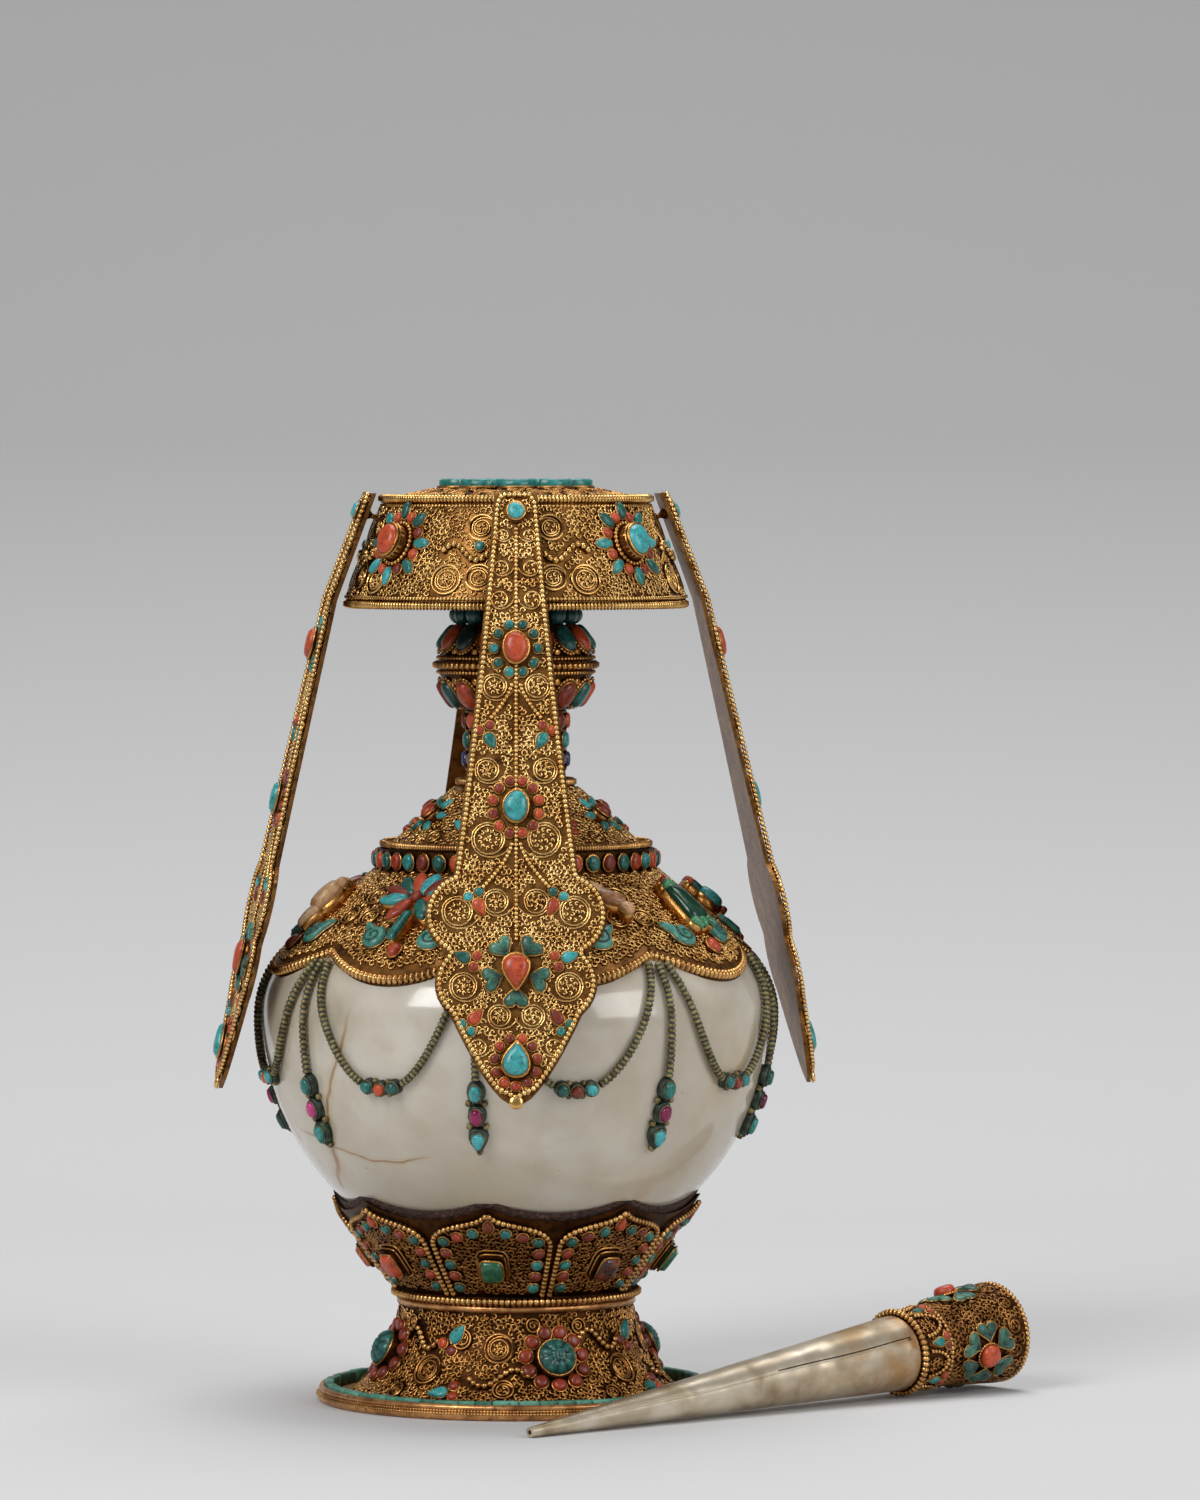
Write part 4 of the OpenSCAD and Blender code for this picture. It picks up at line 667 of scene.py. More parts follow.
# Darker copy of the gilding for the cup, the neck and the sprinkler collar: painted shade, as these parts lie
# in shade.
shade_gold = gilding("shade_gold", (178, 126, 70), (122, 80, 42), (15, 9, 4), 0.32)
rise = np.linspace(35.0, 63.8, 24)
u = (rise - flare_z) / (tip_z - flare_z)
cup_side_r = cup_low_r + (cup_r - cup_low_r) * (1.15 * u - 0.15 * u ** 2)
cup = turned(np.stack([cup_side_r, rise], -1))
around = np.arange(120) * 3.0
band_out = polar(around, 1, 0)[None]
band = tubes(polar(around, waist_band_r, waist_band_z)[None], band_out, 1.38, closed=True, tint=0.7, tall=0.3)
piece("waist_band", [band], plate_gold, "vase", "gilt")
piece("waist_beads", [hoop(waist_rope_r, waist_rope_z, 1.3, 1.75)], rim_gold, "vase", "gilt", "waist_rope")

side_a = petal_half - 1.7


def crown(a):
    """Height of a petal's border wire at an angle from its tip: a cusp, bowed slopes and rounded corners."""
    q = np.abs(a) / side_a
    return tip_z - 1.9 - 2.6 * (1 - np.exp(-np.abs(a) / 2.6)) - 4.0 * q ** 1.6 - 2.6 * q ** 12


climb = np.linspace(flare_z + 1.2, crown(side_a), 20)
crown_a = np.linspace(side_a, -side_a, 41)
border_a = np.concatenate([np.full(19, side_a), crown_a, np.full(19, -side_a)])
border_z = np.concatenate([climb[:-1], crown(crown_a), climb[-2::-1]])
borders = []
for az in petal_az:
    path, out = cup.at(az + border_a, cup.by_z(border_z), petal_wire + 0.1)
    borders.append(pearled(path, out, petal_wire, 1.65, 0.55))
piece("petal_bead_borders", borders, rim_gold, "vase", "gilt", "petal_borders")


def in_petal(az, s):
    """Inside a petal's border."""
    a = (az + 9 + petal_half) % 45 - petal_half
    z = np.interp(s, cup.by_z(rise), rise)
    return (np.abs(az) < 180) & (np.abs(a) < side_a - 1.9) & (z > 36.6) & (z < crown(a) - 1.8)


side_z = np.array([38.4, 42.1, 45.8, 49.5])
side_in = side_a - np.degrees(3.0 / np.interp(side_z, rise, cup_side_r))
top_a = np.array([16.6, 11.2, 5.5])
gem_a = np.concatenate([side_in, top_a])
gem_z = np.concatenate([side_z, crown(top_a) - 3.3])
gem_a, gem_z = np.concatenate([gem_a, -gem_a]), np.concatenate([gem_z, gem_z])
all_az, all_s = (petal_az[:, None] + gem_a).ravel(), np.tile(cup.by_z(gem_z), 8)
holes = [(a, s, 1.9) for a, s in zip(all_az, all_s)] + [(a, cup.by_z(stone_z), 5.4) for a in petal_az] \
    + [(a, cup.by_z(57.7), 2.2) for a in petal_az]
piece("cup_filigree", scrollwork(cup, in_petal, [], holes, 12), shade_gold, "vase", "copper_gilt")

tray = Tray(22)
is_coral = (np.arange(112) + np.arange(112) // 7) % 2 == 1
gem_seat = cup.seat(all_az, all_s)
for kind, pick in (("coral", is_coral), ("turquoise", ~is_coral)):
    # Low tints pick the deep tones: painted shade, as the cup lies in shade under the crystal's belly.
    deep = tray.draw.uniform(0, 0.5, np.count_nonzero(pick))
    tray.lay(kind, oval(3.5, 3.3), 1.9, [v[pick] for v in gem_seat], 0.36, tint=deep)
tip_seat = cup.seat(petal_az, np.full(8, cup.by_z(57.9)))
tray.lay("coral", drop(3.2, 5.0), 1.9, tip_seat, 0.36)


def squared(corners, power):
    """Circle drawn out to a rounded square: its cosines and sines raised to a power under their signs."""
    a = 2 * np.pi * (np.arange(corners) + 0.5) / corners
    round_points = spun(1.0, a)
    return np.sign(round_points) * np.abs(round_points) ** power


block = squared(16, 0.45) * np.array(petal_stone) / 2
block_seat = cup.seat(petal_az, np.full(8, cup.by_z(stone_z)), petal_collet_h)
table_cut = ((1, 0), (1, 0.45), (0.8, 0.95), (0.5, 1))
for kind, pick in (("green", [0, 2, 5]), ("coral", [7, 3]), ("agate", [1, 4, 6])):
    tray.lay(kind, block, 2.6, [v[pick] for v in block_seat], 0.45, table_cut)
frame_seat = cup.seat(petal_az, np.full(8, cup.by_z(stone_z)), 0.3)
tray.rims.append(bezel(block, frame_seat, 0.45, 0.0, 1.5))
tray.rims.append(bezel(block, frame_seat, 0.4, 0.9, 1.3))
green_stone = cut_stone("green_stone", (18, 62, 44), (40, 104, 72), (84, 148, 104), (14, 40, 30), 0.6, 0.16)
agate = cut_stone("agate", (44, 24, 16), (148, 66, 32), (204, 110, 60), (18, 14, 14), 1.0, 0.24)
piece("petal_corals", tray.sorted["coral"], coral, "vase", "coral")
piece("petal_turquoises", tray.sorted["turquoise"], turquoise, "vase", "turquoise")
piece("petal_green_stones", tray.sorted["green"], green_stone, "vase", "green_stone", "petal_stones")
piece("petal_agates", tray.sorted["agate"], agate, "vase", "coral")
piece("petal_bezels", tray.rims, brown_gold, "vase", "gilt")


# Bedding pitch: dark resin and brick dust, poured warm between cup and crystal. It set hard, holds the
# stone without a pin, and was left rough where it shows above the petals.
finish = Finish("bedding_pitch")
lumps = finish.noise(700, 8, 0.5)
colour = finish.ramp(lumps, (0.3, (36, 22, 16)), (0.55, (72, 46, 34)), (0.75, (120, 86, 66)))
finish.surface("Base Color", colour)
finish.surface("Roughness", 0.8)
finish.bump(lumps, 1.0, 0.0016)
paint(finish.made, "pitch_bed")


# Crystal body: one block of milky rock crystal, ground hollow and polished by hand. Cloudy veils lie in it,
# old rust-stained cracks run across its lower left side, and grime has stained it beside the ropes.
body_r, body_z, shoulder_x, shoulder_r, slope_deg = 78.1, 119.0, 52.1, 26.0, 49.2
crystal_low, crystal_top, crystal_wall, bore_r = 44.3, 162.064, 7.0, 13.9


def crystal_side(inset):
    """Side of the crystal from its base to its top, moved inwards: a sphere, a round shoulder, a slope."""
    big, small, tilt = body_r - inset, shoulder_r - inset, np.radians(slope_deg)
    base = np.arcsin((crystal_low + inset - body_z) / big)
    a, b = np.linspace(base, 0, 40), np.linspace(0, tilt, 14)[1:]
    bend = np.array([shoulder_x + small * np.cos(tilt), body_z + small * np.sin(tilt)])
    top = bend + (crystal_top - inset - bend[1]) * np.array([-np.tan(tilt), 1.0])
    return np.concatenate([[0, body_z] + spun(big, a), [shoulder_x, body_z] + spun(small, b), top[None]])


def lathe(profile, segments, ripple):
    """Turned solid: a profile from axis to axis carried round, its radius rippled twice and five times to
    the turn as a hand-ground stone's is; fans close both ends on the axis."""
    r, z = np.array(profile).T
    az = np.arange(segments) * 360 / segments
    turn = np.radians(az)[:, None]
    wave = ripple * (np.sin(2 * turn) * np.sin(z / 21) + 0.5 * np.cos(5 * turn) * np.cos(z / 13))
    points = polar(az[:, None], r * (1 + wave / body_r), z)
    count = len(r)
    i, j = np.arange(segments)[:, None] * count, np.arange(count - 1)[None]
    on = (i + count) % (segments * count)
    quads = np.stack([i + j, on + j, on + j + 1, i + j + 1], -1).reshape(-1, 4)
    poles = np.array([[0, 0, z[0]], [0, 0, z[-1]]])
    i, on, first = i[:, 0], on[:, 0], segments * count
    fans = np.concatenate([np.stack([on, i, np.full(segments, first)], -1),
                           np.stack([i + count - 1, on + count - 1, np.full(segments, first + 1)], -1)])
    return np.concatenate([points.reshape(-1, 3), poles]), [quads, fans], np.full(first + 2, 0.5)


finish = Finish("milky_crystal")
veil = finish.noise(17, 6, 0.25)
colour = finish.ramp(veil, (0.32, (180, 169, 149)), (0.5, (196, 187, 170)), (0.68, (211, 204, 191)))
mist = finish.spread(finish.noise(75, 7, 0.4), 0.0, 0.45, 0.48, 0.7)
colour = finish.blend(mist, colour, tone(180, 165, 138))
wobble = finish.spread(finish.noise(38, 3), -0.0024, 0.0024, 0.3, 0.7)
centre = np.array([0, 0, body_z]) * MM


def skin_point(az, z):
    """Place on the crystal's round belly, in metres from its centre."""
    return polar(az, np.sqrt(body_r ** 2 - (z - body_z) ** 2), z - body_z) * MM


crack_ends = (((-40, 124), (-61, 70), 0.00028), ((-71, 86), (-22, 79), 0.0002),
              ((-55, 80), (-64, 66), 0.0005), ((-78, 97), (-73, 80), 0.0004))
for first, last, width in crack_ends:
    a, b = skin_point(*first), skin_point(*last)
    across = unit(np.cross(a, b))
    away = finish.measured("DOT_PRODUCT", across)
    away = finish.arith("SUBTRACT", away, centre @ across)
    away = finish.arith("ABSOLUTE", finish.arith("ADD", away, wobble))
    length = np.linalg.norm(a - b)
    ends = finish.measured("DISTANCE", centre + (a + b) / 2)
    ends = finish.spread(ends, 1.0, 0.0, 0.36 * length, 0.52 * length)
    halo = finish.arith("MULTIPLY", finish.spread(away, 0.36, 0.0, 0.0, 11 * width), ends)
    hair = finish.arith("MULTIPLY", finish.spread(away, 0.75, 0.0, width, 3.0 * width), ends)
    colour = finish.blend(halo, colour, tone(184, 146, 88))
    colour = finish.blend(hair, colour, tone(146, 104, 54))
smear = finish.spread(finish.noise(120, 6), 0.3, 1.0, 0.35, 0.6)
stains = ((-44, 119, 13, (128, 116, 90)), (-76, 92, 12, (170, 134, 88)), (62, 104, 22, (190, 162, 112)),
          (40, 66, 14, (176, 146, 104)), (-8, 70, 20, (192, 176, 146)))
for az, z, reach, stain in stains:
    far = finish.measured("DISTANCE", centre + skin_point(az, z))
    spot = finish.spread(far, 0.62, 0.0, 0.0, reach * MM)
    colour = finish.blend(finish.arith("MULTIPLY", spot, smear), colour, tone(*stain))
speck = finish.spread(finish.noise(420, 2), 0.0, 0.8, 0.755, 0.78)
colour = finish.blend(speck, colour, tone(120, 92, 60))
finish.surface("Base Color", colour)
finish.surface("Roughness", finish.spread(mist, 0.16, 0.34))
finish.surface("Subsurface Weight", 0.3)
finish.surface("Subsurface Radius", (0.012, 0.010, 0.007))
finish.surface("Subsurface Scale", 0.5)
finish.surface("Coat Weight", 0.5)
finish.surface("Coat Roughness", 0.08)
finish.bump(finish.noise(48, 3), 0.16, 0.0012)
outer, inner = crystal_side(0.0), crystal_side(crystal_wall)
mouth = [[28.0, crystal_top], [bore_r, crystal_top], [bore_r, crystal_top - crystal_wall]]
crystal_loop = np.concatenate([[[12.0, crystal_low]], outer, mouth,
                               inner[::-1], [[10.0, crystal_low + crystal_wall]]])
piece("crystal_vessel", [lathe(crystal_loop, 180, 0.16)], finish.made, "vase", "crystal", "crystal_body")


# Shoulder cape: a filigree collar with eight round lobes, edged with pearled wire. An auspicious emblem
# carved in stone or shell stands on each lobe in a box collet, over a pair of turquoise clouds.
cape_rr = 27.9
lobe_x, lobe_rad, lobe_az0, emblem_r, emblem_lift = 40.9, 34.1, 13.5, 57.5, 3.4
lobe_az, half_lobe = lobe_az0 + 45 * np.arange(8), 22.5
cape_bend = shoulder_x + cape_rr * np.cos(np.radians(slope_deg))


def cape_height(r):
    """Height of the cape's face at a plan radius: a straight slope above, a round shoulder below."""
    tilt = np.radians(slope_deg)
    straight = body_z + cape_rr * np.sin(tilt) + (cape_bend - r) / np.tan(tilt)
    curved = body_z + np.sqrt(np.maximum(0, cape_rr ** 2 - (r - shoulder_x) ** 2))
    return np.where(r > cape_bend, curved, straight)


def lobe_edge(a):
    """Plan radius of the lobed edge at an angle from a lobe's middle: a circle off the axis."""
    t = np.radians(a)
    return lobe_x * np.cos(t) + np.sqrt(lobe_rad ** 2 - (lobe_x * np.sin(t)) ** 2)


# Sheet under the cape's and the dome's filigree: its gilt made darker with painted shade, for the shade
# between the wires.
cape_sheet = gilding("cape_sheet", (158, 110, 58), (112, 74, 38), (44, 26, 12), 0.42, worked=False)
paint(cape_sheet, "shoulder_cape", "neck_dome")
spread_r = np.linspace(43.2, 76.5, 60)
cape = turned(np.stack([spread_r, cape_height(spread_r)], -1))
a = (np.arange(8 * 30) % 30 + 0.5) * 1.5 - half_lobe
edge_az = np.repeat(lobe_az, 30) + a
edge_r = lobe_edge(a)
path, out = polar(edge_az, edge_r + 0.1, cape_height(edge_r) - 1.7), polar(edge_az, 0.8, 0.6)
# A thin wire under the edge at tint 0.1, almost all in the gilding's dark colour: painted shade in the seam
# against the crystal.
under = polar(edge_az, edge_r - 0.3, cape_height(edge_r) - 3.4)[None]
piece("cape_edge_beads", [pearled(path, out, 1.65, 1.8, 0.45, closed=True)]
      + [tubes(under, polar(edge_az, 1, 0)[None], 0.7, 6, closed=True, tint=0.1)],
      rim_gold, "vase", "gilt", "cape_edge_wire")


def on_cape(az, s):
    """Inside the lobes' edge wire and outside the gem band."""
    a = (az - lobe_az0 + half_lobe) % 45 - half_lobe
    r = np.interp(s, cape.by_r(spread_r), spread_r)
    return (np.abs(az) < 180) & (s > 0.6) & (r < lobe_edge(a) - 1.7)


cloud_r, cloud_a, oval_r = 65.5, 8.6, 69.3
whorls = [(a + d, cape.by_r(r), size) for a in lobe_az for d, r, size in
          ((17.8, 58.5, 3.8), (-17.8, 58.5, 3.8), (half_lobe, 51.5, 4.2))]
holes = [(a, cape.by_r(emblem_r), 4.0) for a in lobe_az] + [(a, cape.by_r(oval_r), 2.4) for a in lobe_az] \
    + [(a + d, cape.by_r(cloud_r), 2.8) for a in lobe_az for d in (-cloud_a, cloud_a)]
cape_gold = gilding("cape_gold", (246, 196, 120), (196, 142, 76), (24, 14, 6), 0.28)
piece("cape_filigree", scrollwork(cape, on_cape, whorls, holes, 13, pitch=2.15, rim=whorl_rim),
      cape_gold, "vase", "copper_gilt")


def laid(outline, turn=0.0, dx=0.0, dy=0.0):
    """Outline turned by degrees and moved."""
    t = np.radians(turn)
    return outline @ np.array([[np.cos(t), np.sin(t)], [-np.sin(t), np.cos(t)]]) + [dx, dy]


def petal(outline, t, wide, tall, dy=0.0):
    """Outline that points outwards, t degrees round from upright, on an oval wide across and tall up."""
    return laid(outline, t, -wide * np.sin(np.radians(t)), dy + tall * np.cos(np.radians(t)))


def slab(w, l, w_top=None, corners=16):
    """Rounded bar, w wide at the bottom, w_top at the top and l long."""
    x, y = squared(corners, 0.4).T
    top = w if w_top is None else w_top
    return np.stack([x / 2 * (w + (top - w) * (y + 1) / 2), y * l / 2], -1)


leaf = np.array([[0, 4.6], [-1.2, 3.2], [-1.9, 1.0], [-1.6, -1.2], [-0.7, -3],
                 [0.7, -3], [1.6, -1.2], [1.9, 1.0], [1.2, 3.2]])
disc = oval(1.0, 1.0, 16)
emblems = {
    "lotus": [(kind, petal(leaf * 1.3, t, 7.0, 5.2, 4.4), 1.9) for t, kind in
              zip((-100, -72, -42, -14, 14, 42, 72, 100, 150, -150), ("coral", "turquoise") * 5)]
    + [("turquoise", laid(slab(2.9, 12.5), -6, -0.8, -7.6), 1.9), ("coral", disc * 3.8 + [0, 4.2], 2.6)],
    "conch": [("shell", laid(oval(8.6, 12.4, 16), 12, 0.4, 1.4), 4.2),
              ("shell", disc * 5.6 + [-0.6, 6.6], 3.0),
              ("shell", laid(drop(5.0, 9.0), 192, 1.4, -5.6), 2.6), ("shell", disc * 3.0 + [-0.9, 8.9], 2.0)],
    "fish": [("brown_shell", laid(oval(5.8, 11.0, 16), -76 * m, -3.0 * m, 6.4), 3.4) for m in (-1, 1)]
    + [("brown_shell", laid(oval(5.0, 12.0, 16), 54 * m, 2.8 * m, 4.4), 3.0) for m in (-1, 1)]
    + [("brown_shell", laid(drop(4.8, 5.6), 54 * m, 7.6 * m, -0.4), 2.4) for m in (-1, 1)],
    "banner": [("green", slab(10.0, 14.5, 6.4), 3.2), ("green", disc * 4.6 + [0, 8.0], 2.6)]
    + [("green", laid(drop(3.6, 4.6), 180, x, -8.0), 2.2) for x in (-3.4, 0, 3.4)]
    + [("coral", disc * 2.6 + [0, 10.2], 2.2)],
    "vase": [("turquoise", disc * 9.4 + [0, -1.6], 3.4), ("turquoise", slab(3.4, 6.0) + [0, 4.4], 2.4),
             ("coral", slab(6.6, 2.0) + [0, 7.2], 2.2), ("coral", slab(6.0, 2.0) + [0, -7.0], 2.2)],
    "wheel": [("turquoise", petal(drop(2.2, 4.4), t, 3.6, 3.6), 2.2) for t in range(0, 360, 45)]
    + [("coral", disc * 3.6, 2.8)]
    + [("green", disc * 2.3 + 6.4 * np.array([np.sin(t), np.cos(t)]), 2.0)
       for t in np.radians(range(0, 360, 30))],
    "knot": [("green", laid(slab(1.9, 11.4), 45 * m, 3.4 * y, 3.4 * y * m), 2.0 + 0.5 * (m > 0))
             for m in (-1, 1) for y in (-0.75, 0, 0.75)] + [("coral", disc * 2.4, 3.0)],
    "parasol": [("coral", laid(oval(14.0, 8.0, 16), 0, 0, 3.0), 3.4),
                ("turquoise", slab(1.8, 9.0) + [0, -4.4], 2.0)]
    + [("turquoise", disc * 3.0 + [x, -0.6], 2.2) for x in (-5.0, -1.7, 1.7, 5.0)]
    + [("green", disc * 2.4 + [0, 7.6], 2.6)],
}
order = ("fish", "banner", "vase", "wheel", "knot", "parasol", "conch", "lotus")
tray = Tray(23)
collets = []
box_wall = ((1, 0), (1, 0.97), (0.9, 1))
for az, name in zip(lobe_az, order):
    for i, (kind, outline, tall) in enumerate(emblems[name]):
        own_az = np.array([az + (0 if name != "fish" else (-12.5, 12.5)[i % 2])])
        low = cape.seat(own_az, np.array([cape.by_r(emblem_r)]))
        tray.lay(kind, outline, tall, raised(low, emblem_lift), 0.0)
        wall = (outline - outline.mean(0)) * 1.07 + outline.mean(0)
        collets.append(domes(wall, emblem_lift + 0.35, low, box_wall, 0.85))

a = 2 * np.pi * np.arange(32) / 32
tail = np.exp(-((np.degrees(a) - 44) / 15) ** 2) + 0.12 * np.exp(-((np.degrees(a) - 120) / 22) ** 2)
cloud = spun(4.1 + 5.0 * tail, a)
t = np.linspace(0, 1, 26)
curl_flat = spun(3.2 * (1 - 0.85 * t), 0.9 - 8.6 * t)
ridge_flat = np.stack([2.4 + 3.2 * t, 2.2 + 3.4 * t], -1)
cloud_swell = ((1, 0), (1, 0.5), (0.86, 0.86), (0.6, 1))
for hand in (1, -1):
    seat = cape.seat(lobe_az + hand * cloud_a, np.full(8, cape.by_r(cloud_r)), 0.1)
    shape = cloud if hand > 0 else (cloud * [-1, 1])[::-1]
    tray.lay("cloud", shape, 2.5, seat, 0.3, cloud_swell, tray.draw.uniform(0.5, 0.85, 8))
    origin, across, up, out = [v[:, None] for v in seat]
    for line, rise in ((curl_flat, 2.45), (ridge_flat, 2.35 - 1.1 * t[:, None])):
        path = origin + hand * line[:, :1] * across + line[:, 1:] * up + rise * out
        tray.sorted["cloud"].append(tubes(path, np.broadcast_to(out, path.shape), 0.42, tint=0.0))
tray.lay("coral", oval(4.6, 5.6), 2.6, cape.seat(lobe_az, np.full(8, cape.by_r(oval_r)), 0.2), 0.45)
shell = cut_stone("shell", (168, 122, 80), (216, 176, 130), (242, 220, 186), (132, 88, 52), 0.3, 0.3)
brown_shell = cut_stone("brown_shell", (122, 76, 44), (178, 126, 80), (216, 170, 122), (92, 56, 32), 0.5, 0.3)
piece("emblem_shells", tray.sorted["shell"], shell, "vase", "shell", "emblem_stones")
piece("emblem_brown_shells", tray.sorted["brown_shell"], brown_shell, "vase", "shell")
piece("emblem_green_stones", tray.sorted["green"], green_stone, "vase", "green_stone")
piece("emblem_corals", tray.sorted["coral"], coral, "vase", "coral")
piece("emblem_turquoises", tray.sorted["turquoise"], turquoise, "vase", "turquoise")
cloud_green = cut_stone("cloud_green", (24, 74, 64), (48, 118, 104), (88, 160, 144), (28, 42, 36), 0.7, 0.34)
piece("cape_clouds", tray.sorted["cloud"], cloud_green, "vase", "turquoise", "cape_turquoises")
piece("emblem_collets", collets + tray.rims, brown_gold, "vase", "gilt")


# Festoons: ropes of coiled wire soldered stiff, hung from the cusps of the cape against the crystal.
# Each swag carries a bar of three stones and each pendant a drop of three, all dark with verdigris.
swag_z, pendant_z, rope_r, rope_lift, cusp_gap = 101.0, 80.0, 1.3, 1.55, 2.6
swag_deg_per_mm, pendant_far = 0.745, 70
pendant_rows, swag_x, setting_h = (20.5, 13.5, 6.5), (-4.4, 0.0, 4.4), 2.2
cusp_az = petal_az
cusp_z = float(cape_height(68.1)) - 5.2

rise = np.linspace(60.0, 118.9, 50)
shoulder_z = np.linspace(119.1, body_z + shoulder_r * np.sin(np.radians(slope_deg)), 30)
belly_z = np.concatenate([rise, shoulder_z])
belly_r = np.concatenate([np.sqrt(body_r ** 2 - (body_z - rise) ** 2),
                          shoulder_x + np.sqrt(shoulder_r ** 2 - (shoulder_z - body_z) ** 2)])
belly_lean = np.concatenate([-np.arcsin((body_z - rise) / body_r),
                             np.arcsin((shoulder_z - body_z) / shoulder_r)])


def on_crystal(az, z, lift=0.0):
    """Seats on the crystal at azimuth az and height z: point, across, up and out."""
    az, z = np.broadcast_arrays(np.asarray(az, float), np.asarray(z, float))
    return upright(az, np.interp(z, belly_z, belly_r), z, np.interp(z, belly_z, belly_lean), lift)


finish = Finish("verdigris")
crust = finish.noise(500, 6, 0.3)
green = finish.ramp(crust, (0.3, (12, 18, 14)), (0.5, (34, 48, 37)), (0.72, (78, 100, 78)))
worn = finish.ramp(crust, (0.35, (98, 86, 54)), (0.65, (184, 164, 114)))
share = finish.spread(finish.own_tint(), 0.0, 0.92, 0.56, 0.95)
finish.surface("Base Color", finish.blend(share, green, worn))
finish.surface("Metallic", share)
finish.surface("Roughness", finish.spread(crust, 0.35, 0.7, 0.3, 0.7))
finish.bump(crust, 0.6, 0.0004)
verdigris = finish.made

ropes = []
u = np.linspace(1, 0.26, 40)
for az in cusp_az:
    for hand in (-1, 1):
        swing = hand * (half_lobe - (half_lobe - cusp_gap) * u)
        path, _, _, out = on_crystal(az + swing, swag_z + (cusp_z - swag_z) * u ** 2.3, rope_lift)
        ropes.append(pearled(path, out, rope_r, 1.5, 0.6, 8))
    path, _, _, out = on_crystal(az, np.linspace(cusp_z, pendant_z + 24, 24), rope_lift)
    ropes.append(pearled(path, out, rope_r, 1.5, 0.6, 8))
piece("festoon_coils", ropes, verdigris, "vase", "patina", "festoon_ropes")

tray = Tray(24)
mounts = []
flat_top = ((1.12, 0), (1.05, 0.8), (0.94, 1.0))
for x, kind in zip(swag_x, ("turquoise", "coral", "turquoise")):
    seat = on_crystal(lobe_az + x * swag_deg_per_mm, swag_z + 0.12 * abs(x))
    mounts.append(domes(oval(4.4, 4.4), setting_h, seat, flat_top, 0.3))
    tray.lay(kind, oval(3.7, 3.5), 1.9, raised(seat, setting_h), 0.0)
    mounts.append(bezel(oval(3.9, 3.9), raised(seat, setting_h), 0.34, 0.3))
for row, (dz, kind) in enumerate(zip(pendant_rows, ("turquoise", "ruby", "turquoise"))):
    seat = on_crystal(cusp_az, pendant_z + dz)
    shape = oval(5.2, 6.6, 14) if row < 2 else laid(drop(5.6, 8.0), 180)
    gem = oval(3.8, 5.0, 14) if row < 2 else laid(drop(3.8, 5.6), 180)
    mounts.append(domes(shape, setting_h, seat, flat_top, 0.3))
    tray.lay(kind, gem, 1.9, raised(seat, setting_h), 0.0)
    mounts.append(bezel(gem, raised(seat, setting_h), 0.36, 0.3, 1.08))
for dz, x in ((17.0, 2.3), (17.0, -2.3), (10.0, 2.4), (10.0, -2.4), (2.2, 0.0)):
    seat = on_crystal(cusp_az + np.degrees(x / pendant_far), pendant_z + dz, 0.1)
    mounts.append(domes(oval(2.0, 2.0, 10), 1.6, seat, tint=0.9))
for x, dz in ((-2.2, 2.0), (2.2, 2.0), (-2.2, -1.9), (2.2, -1.9)):
    seat = on_crystal(lobe_az + x * swag_deg_per_mm, swag_z + dz, 0.1)
    mounts.append(domes(oval(1.7, 1.7, 10), 1.5, seat, tint=0.9))
ruby = cut_stone("ruby", (92, 10, 48), (148, 20, 84), (196, 64, 132), (70, 6, 36), 0.3, 0.14)
piece("festoon_mounts", mounts, verdigris, "vase", "patina", "festoon_settings")
piece("festoon_gem_turquoises", tray.sorted["turquoise"],
      turquoise, "vase", "turquoise", "festoon_turquoises")
piece("festoon_gem_corals", tray.sorted["coral"], coral, "vase", "coral", "festoon_corals")
piece("festoon_rubies", tray.sorted["ruby"], ruby, "vase", "coral")


# Gem band and neck dome: a plain band set with forty-four cabochons, then a filigree dome with flowers
# of coral and turquoise leaves, closed above and below by twisted wire.
band_r, band_z, band_h = 42.3, 162.264, 7.7
dome_z, dome_low_r, dome_top_r, dome_h = 169.96, 39.3, 18.25, 19.0
dome_rope_at = ((40.9, 171.32), (17.55, 190.31))
paint(shaded_sheet_brown, "gem_band")
band_az = np.arange(44) * 360 / 44
band_seat = upright(band_az, band_r, band_z + band_h * 0.58)
tray = Tray(25)
for kind, first in (("turquoise", 0), ("coral", 1)):
    tray.lay(kind, oval(4.5, 5.0), 2.3, [v[first::2] for v in band_seat], 0.42)
piece("band_gem_turquoises", tray.sorted["turquoise"], turquoise, "vase", "turquoise", "band_turquoises")
piece("band_gem_corals", tray.sorted["coral"], coral, "vase", "coral", "band_corals")
piece("band_bezels", tray.rims + [hoop(band_r + 0.5, band_z + 0.7, 0.6, 1.2)], brown_gold, "vase", "gilt")
piece("dome_twisted_wires", [hoop(r, z, 1.3, 0.95, 0.6) for r, z in dome_rope_at],
      rim_gold, "vase", "gilt", "dome_ropes")

dome = turned([(dome_top_r + 0.1, dome_z + dome_h), (dome_low_r, dome_z)])
flower_at = np.array([-62.0, 62.0, 118.0, -118.0])
spray_at = np.array([-30.0, 28.0, 90.0, 150.0, -150.0, -90.0])
flower_s, spray_s = 13.5, 17.5
holes = [(a, flower_s, 4.6) for a in flower_at] + [(a, spray_s, 2.4) for a in spray_at]
whorls = [(a, 22.0, 3.0) for a in (-46, -14, 12, 45, 75, 105, 135, 165, -165, -135, -105, -75)] + \
    [(a, 9.0, 3.2) for a in (-30, 30, 90, 150, -150, -90)]
piece("dome_filigree", scrollwork(dome, between(dome, 1.4, 1.8), whorls, holes, 14),
      cape_gold, "vase", "copper_gilt")
tray = Tray(26)
tray.lay("coral", oval(4.6, 5.4), 2.4, dome.seat(flower_at, np.full(4, flower_s), 2.0), 0.45)
